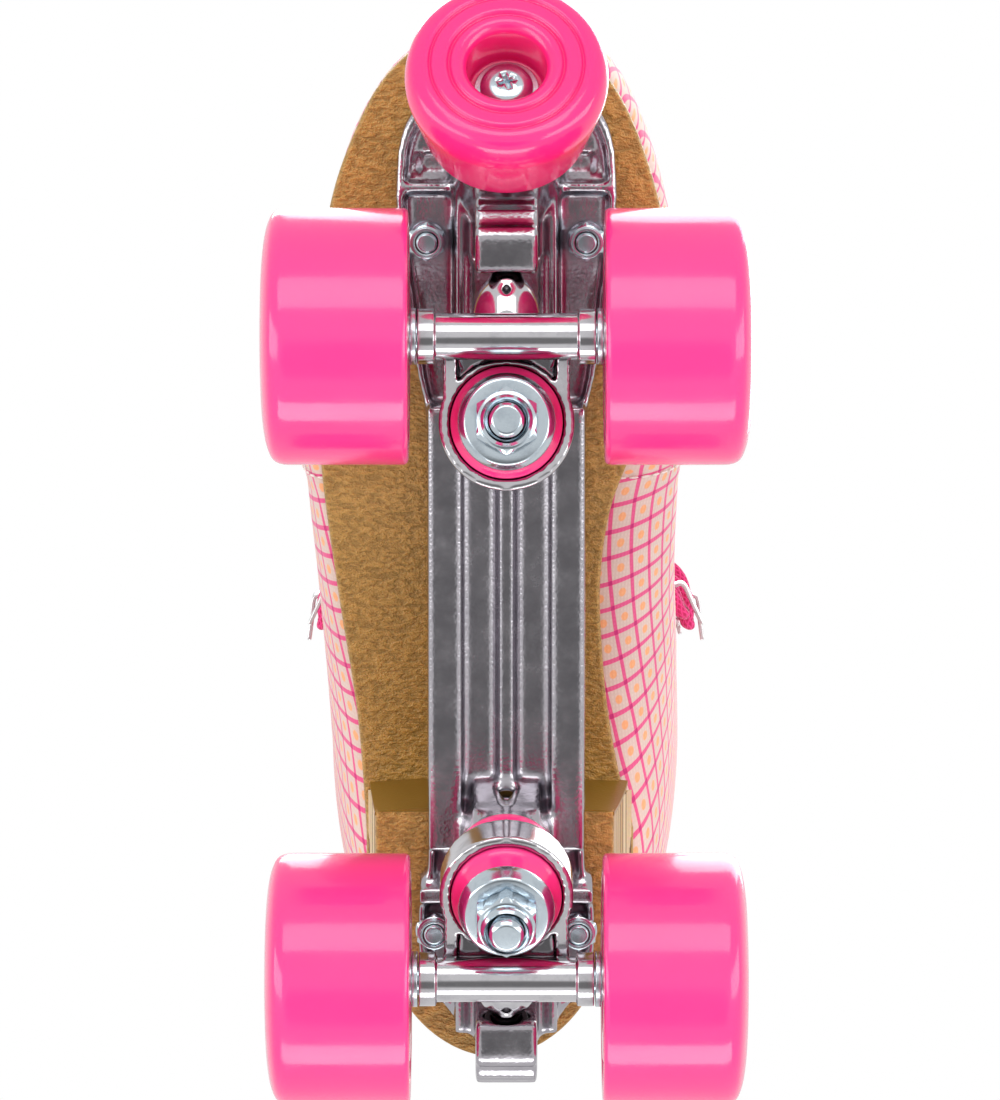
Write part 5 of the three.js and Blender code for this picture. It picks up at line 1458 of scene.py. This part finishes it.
lace_top = lace_crossing(13.6, 1)
lace_path = smooth_line([lace_top + [-6, 0, 0], *lace_strand(1, 0)[::-1], *lace_strand(-1, 4.9), lace_top + [6, 0, 0]],
                        18)
lace_out = np.stack([lace_path[:, 0] * 0.9, lace_path[:, 1] - 70, lace_path[:, 2] - 90], 1)
sides = 14
mesh = mesh_of("braided_lace", swept(lace_path, lace_out, 3.7, 2.7, sides))
# The print map runs once round the lace and in units of 2 mm along it.
lengths = lengths_along(lace_path) / 2
uv = mesh.uv_layers.new(name="print")
for polygon in mesh.polygons:
    first = polygon.index % sides
    for loop_index in polygon.loop_indices:
        vertex = mesh.loops[loop_index].vertex_index
        around = vertex % sides
        if len(polygon.vertices) == 4 and first == sides - 1 and around == 0:
            around = sides
        uv.data[loop_index].uv = (around / sides, lengths[vertex // sides])
mesh.shade_smooth()
mesh.materials.append(braided_cord("braided_polyester_lace"))
fitted(shown("braided_lace", mesh), "boot_and_plate", "lace", "lace")


# ---- Floor, studio and light ----
# The skate stands on a pale floor that is only seen from above, so that the studio can light it from below too.
# Large soft boxes stand at its sides, its toe and its heel, and the metal mirrors them and the dim room between.
floor_finish, tree = finish("matt_pale_floor", Roughness=0.9, Base_Color=colour(0xE9E8E6))
geometry = add(tree, "ShaderNodeNewGeometry")
clear = add(tree, "ShaderNodeBsdfTransparent")
seen = add(tree, "ShaderNodeMixShader", {0: geometry.outputs["Backfacing"],
                                         1: tree.nodes["Principled BSDF"].outputs[0], 2: clear.outputs[0]})
tree.links.new(seen.outputs[0], tree.nodes["Material Output"].inputs["Surface"])
floor_mesh = bpy.data.meshes.new("floor")
floor_mesh.from_pydata([(-4, -4, 0), (4, -4, 0), (4, 4, 0), (-4, 4, 0)], [], [(0, 1, 2, 3)])
floor_mesh.materials.append(floor_finish)
floor = shown("floor", floor_mesh)
floor.visible_diffuse = floor.visible_glossy = floor.visible_transmission = floor.visible_shadow = False

room = bpy.data.worlds.new("studio")
bpy.context.scene.world = room
room.use_nodes = True
tree = room.node_tree
toward = add(tree, "ShaderNodeTexCoord").outputs["Generated"]
below = add(tree, "ShaderNodeVectorMath", {0: toward, 1: (0, look.y, -look.z)}, operation="DOT_PRODUCT")
dim = add(tree, "ShaderNodeMapRange", {"Value": below.outputs["Value"], "From Min": 0.93, "From Max": 0.985,
                                       "To Min": 0.8, "To Max": 0.22}, interpolation_type="SMOOTHSTEP")
seen_by = add(tree, "ShaderNodeLightPath")
strength = add(tree, "ShaderNodeMix", {"Factor": seen_by.outputs["Is Camera Ray"], "A": dim.outputs[0], "B": 1.0})
backdrop = tree.nodes["Background"]
backdrop.inputs["Color"].default_value = (1, 1, 1, 1)
tree.links.new(strength.outputs[0], backdrop.inputs["Strength"])


def soft_box(name, where, width, height, watts):
    light = bpy.data.lights.new(name, "AREA")
    light.shape, light.size, light.size_y, light.energy = "RECTANGLE", width, height, watts
    box = shown(name, light)
    box.matrix_world = Matrix.Translation(where) @ (-Vector(where)).to_track_quat("-Z", "Y").to_matrix().to_4x4()
    box.visible_camera = False


soft_box("toe_box", (0, -0.95, -0.75), 1.3, 0.6, 5.5)
soft_box("heel_box", (0, 1.0, -0.55), 1.2, 0.4, 5)
soft_box("medial_box", (1.05, -0.1, -0.6), 0.5, 1.4, 6)
soft_box("lateral_box", (-1.05, -0.1, -0.6), 0.5, 1.4, 6)
soft_box("top_box", (0.3, -0.5, 1.5), 1.4, 1.4, 22)
bpy.context.scene.view_settings.view_transform = "Standard"
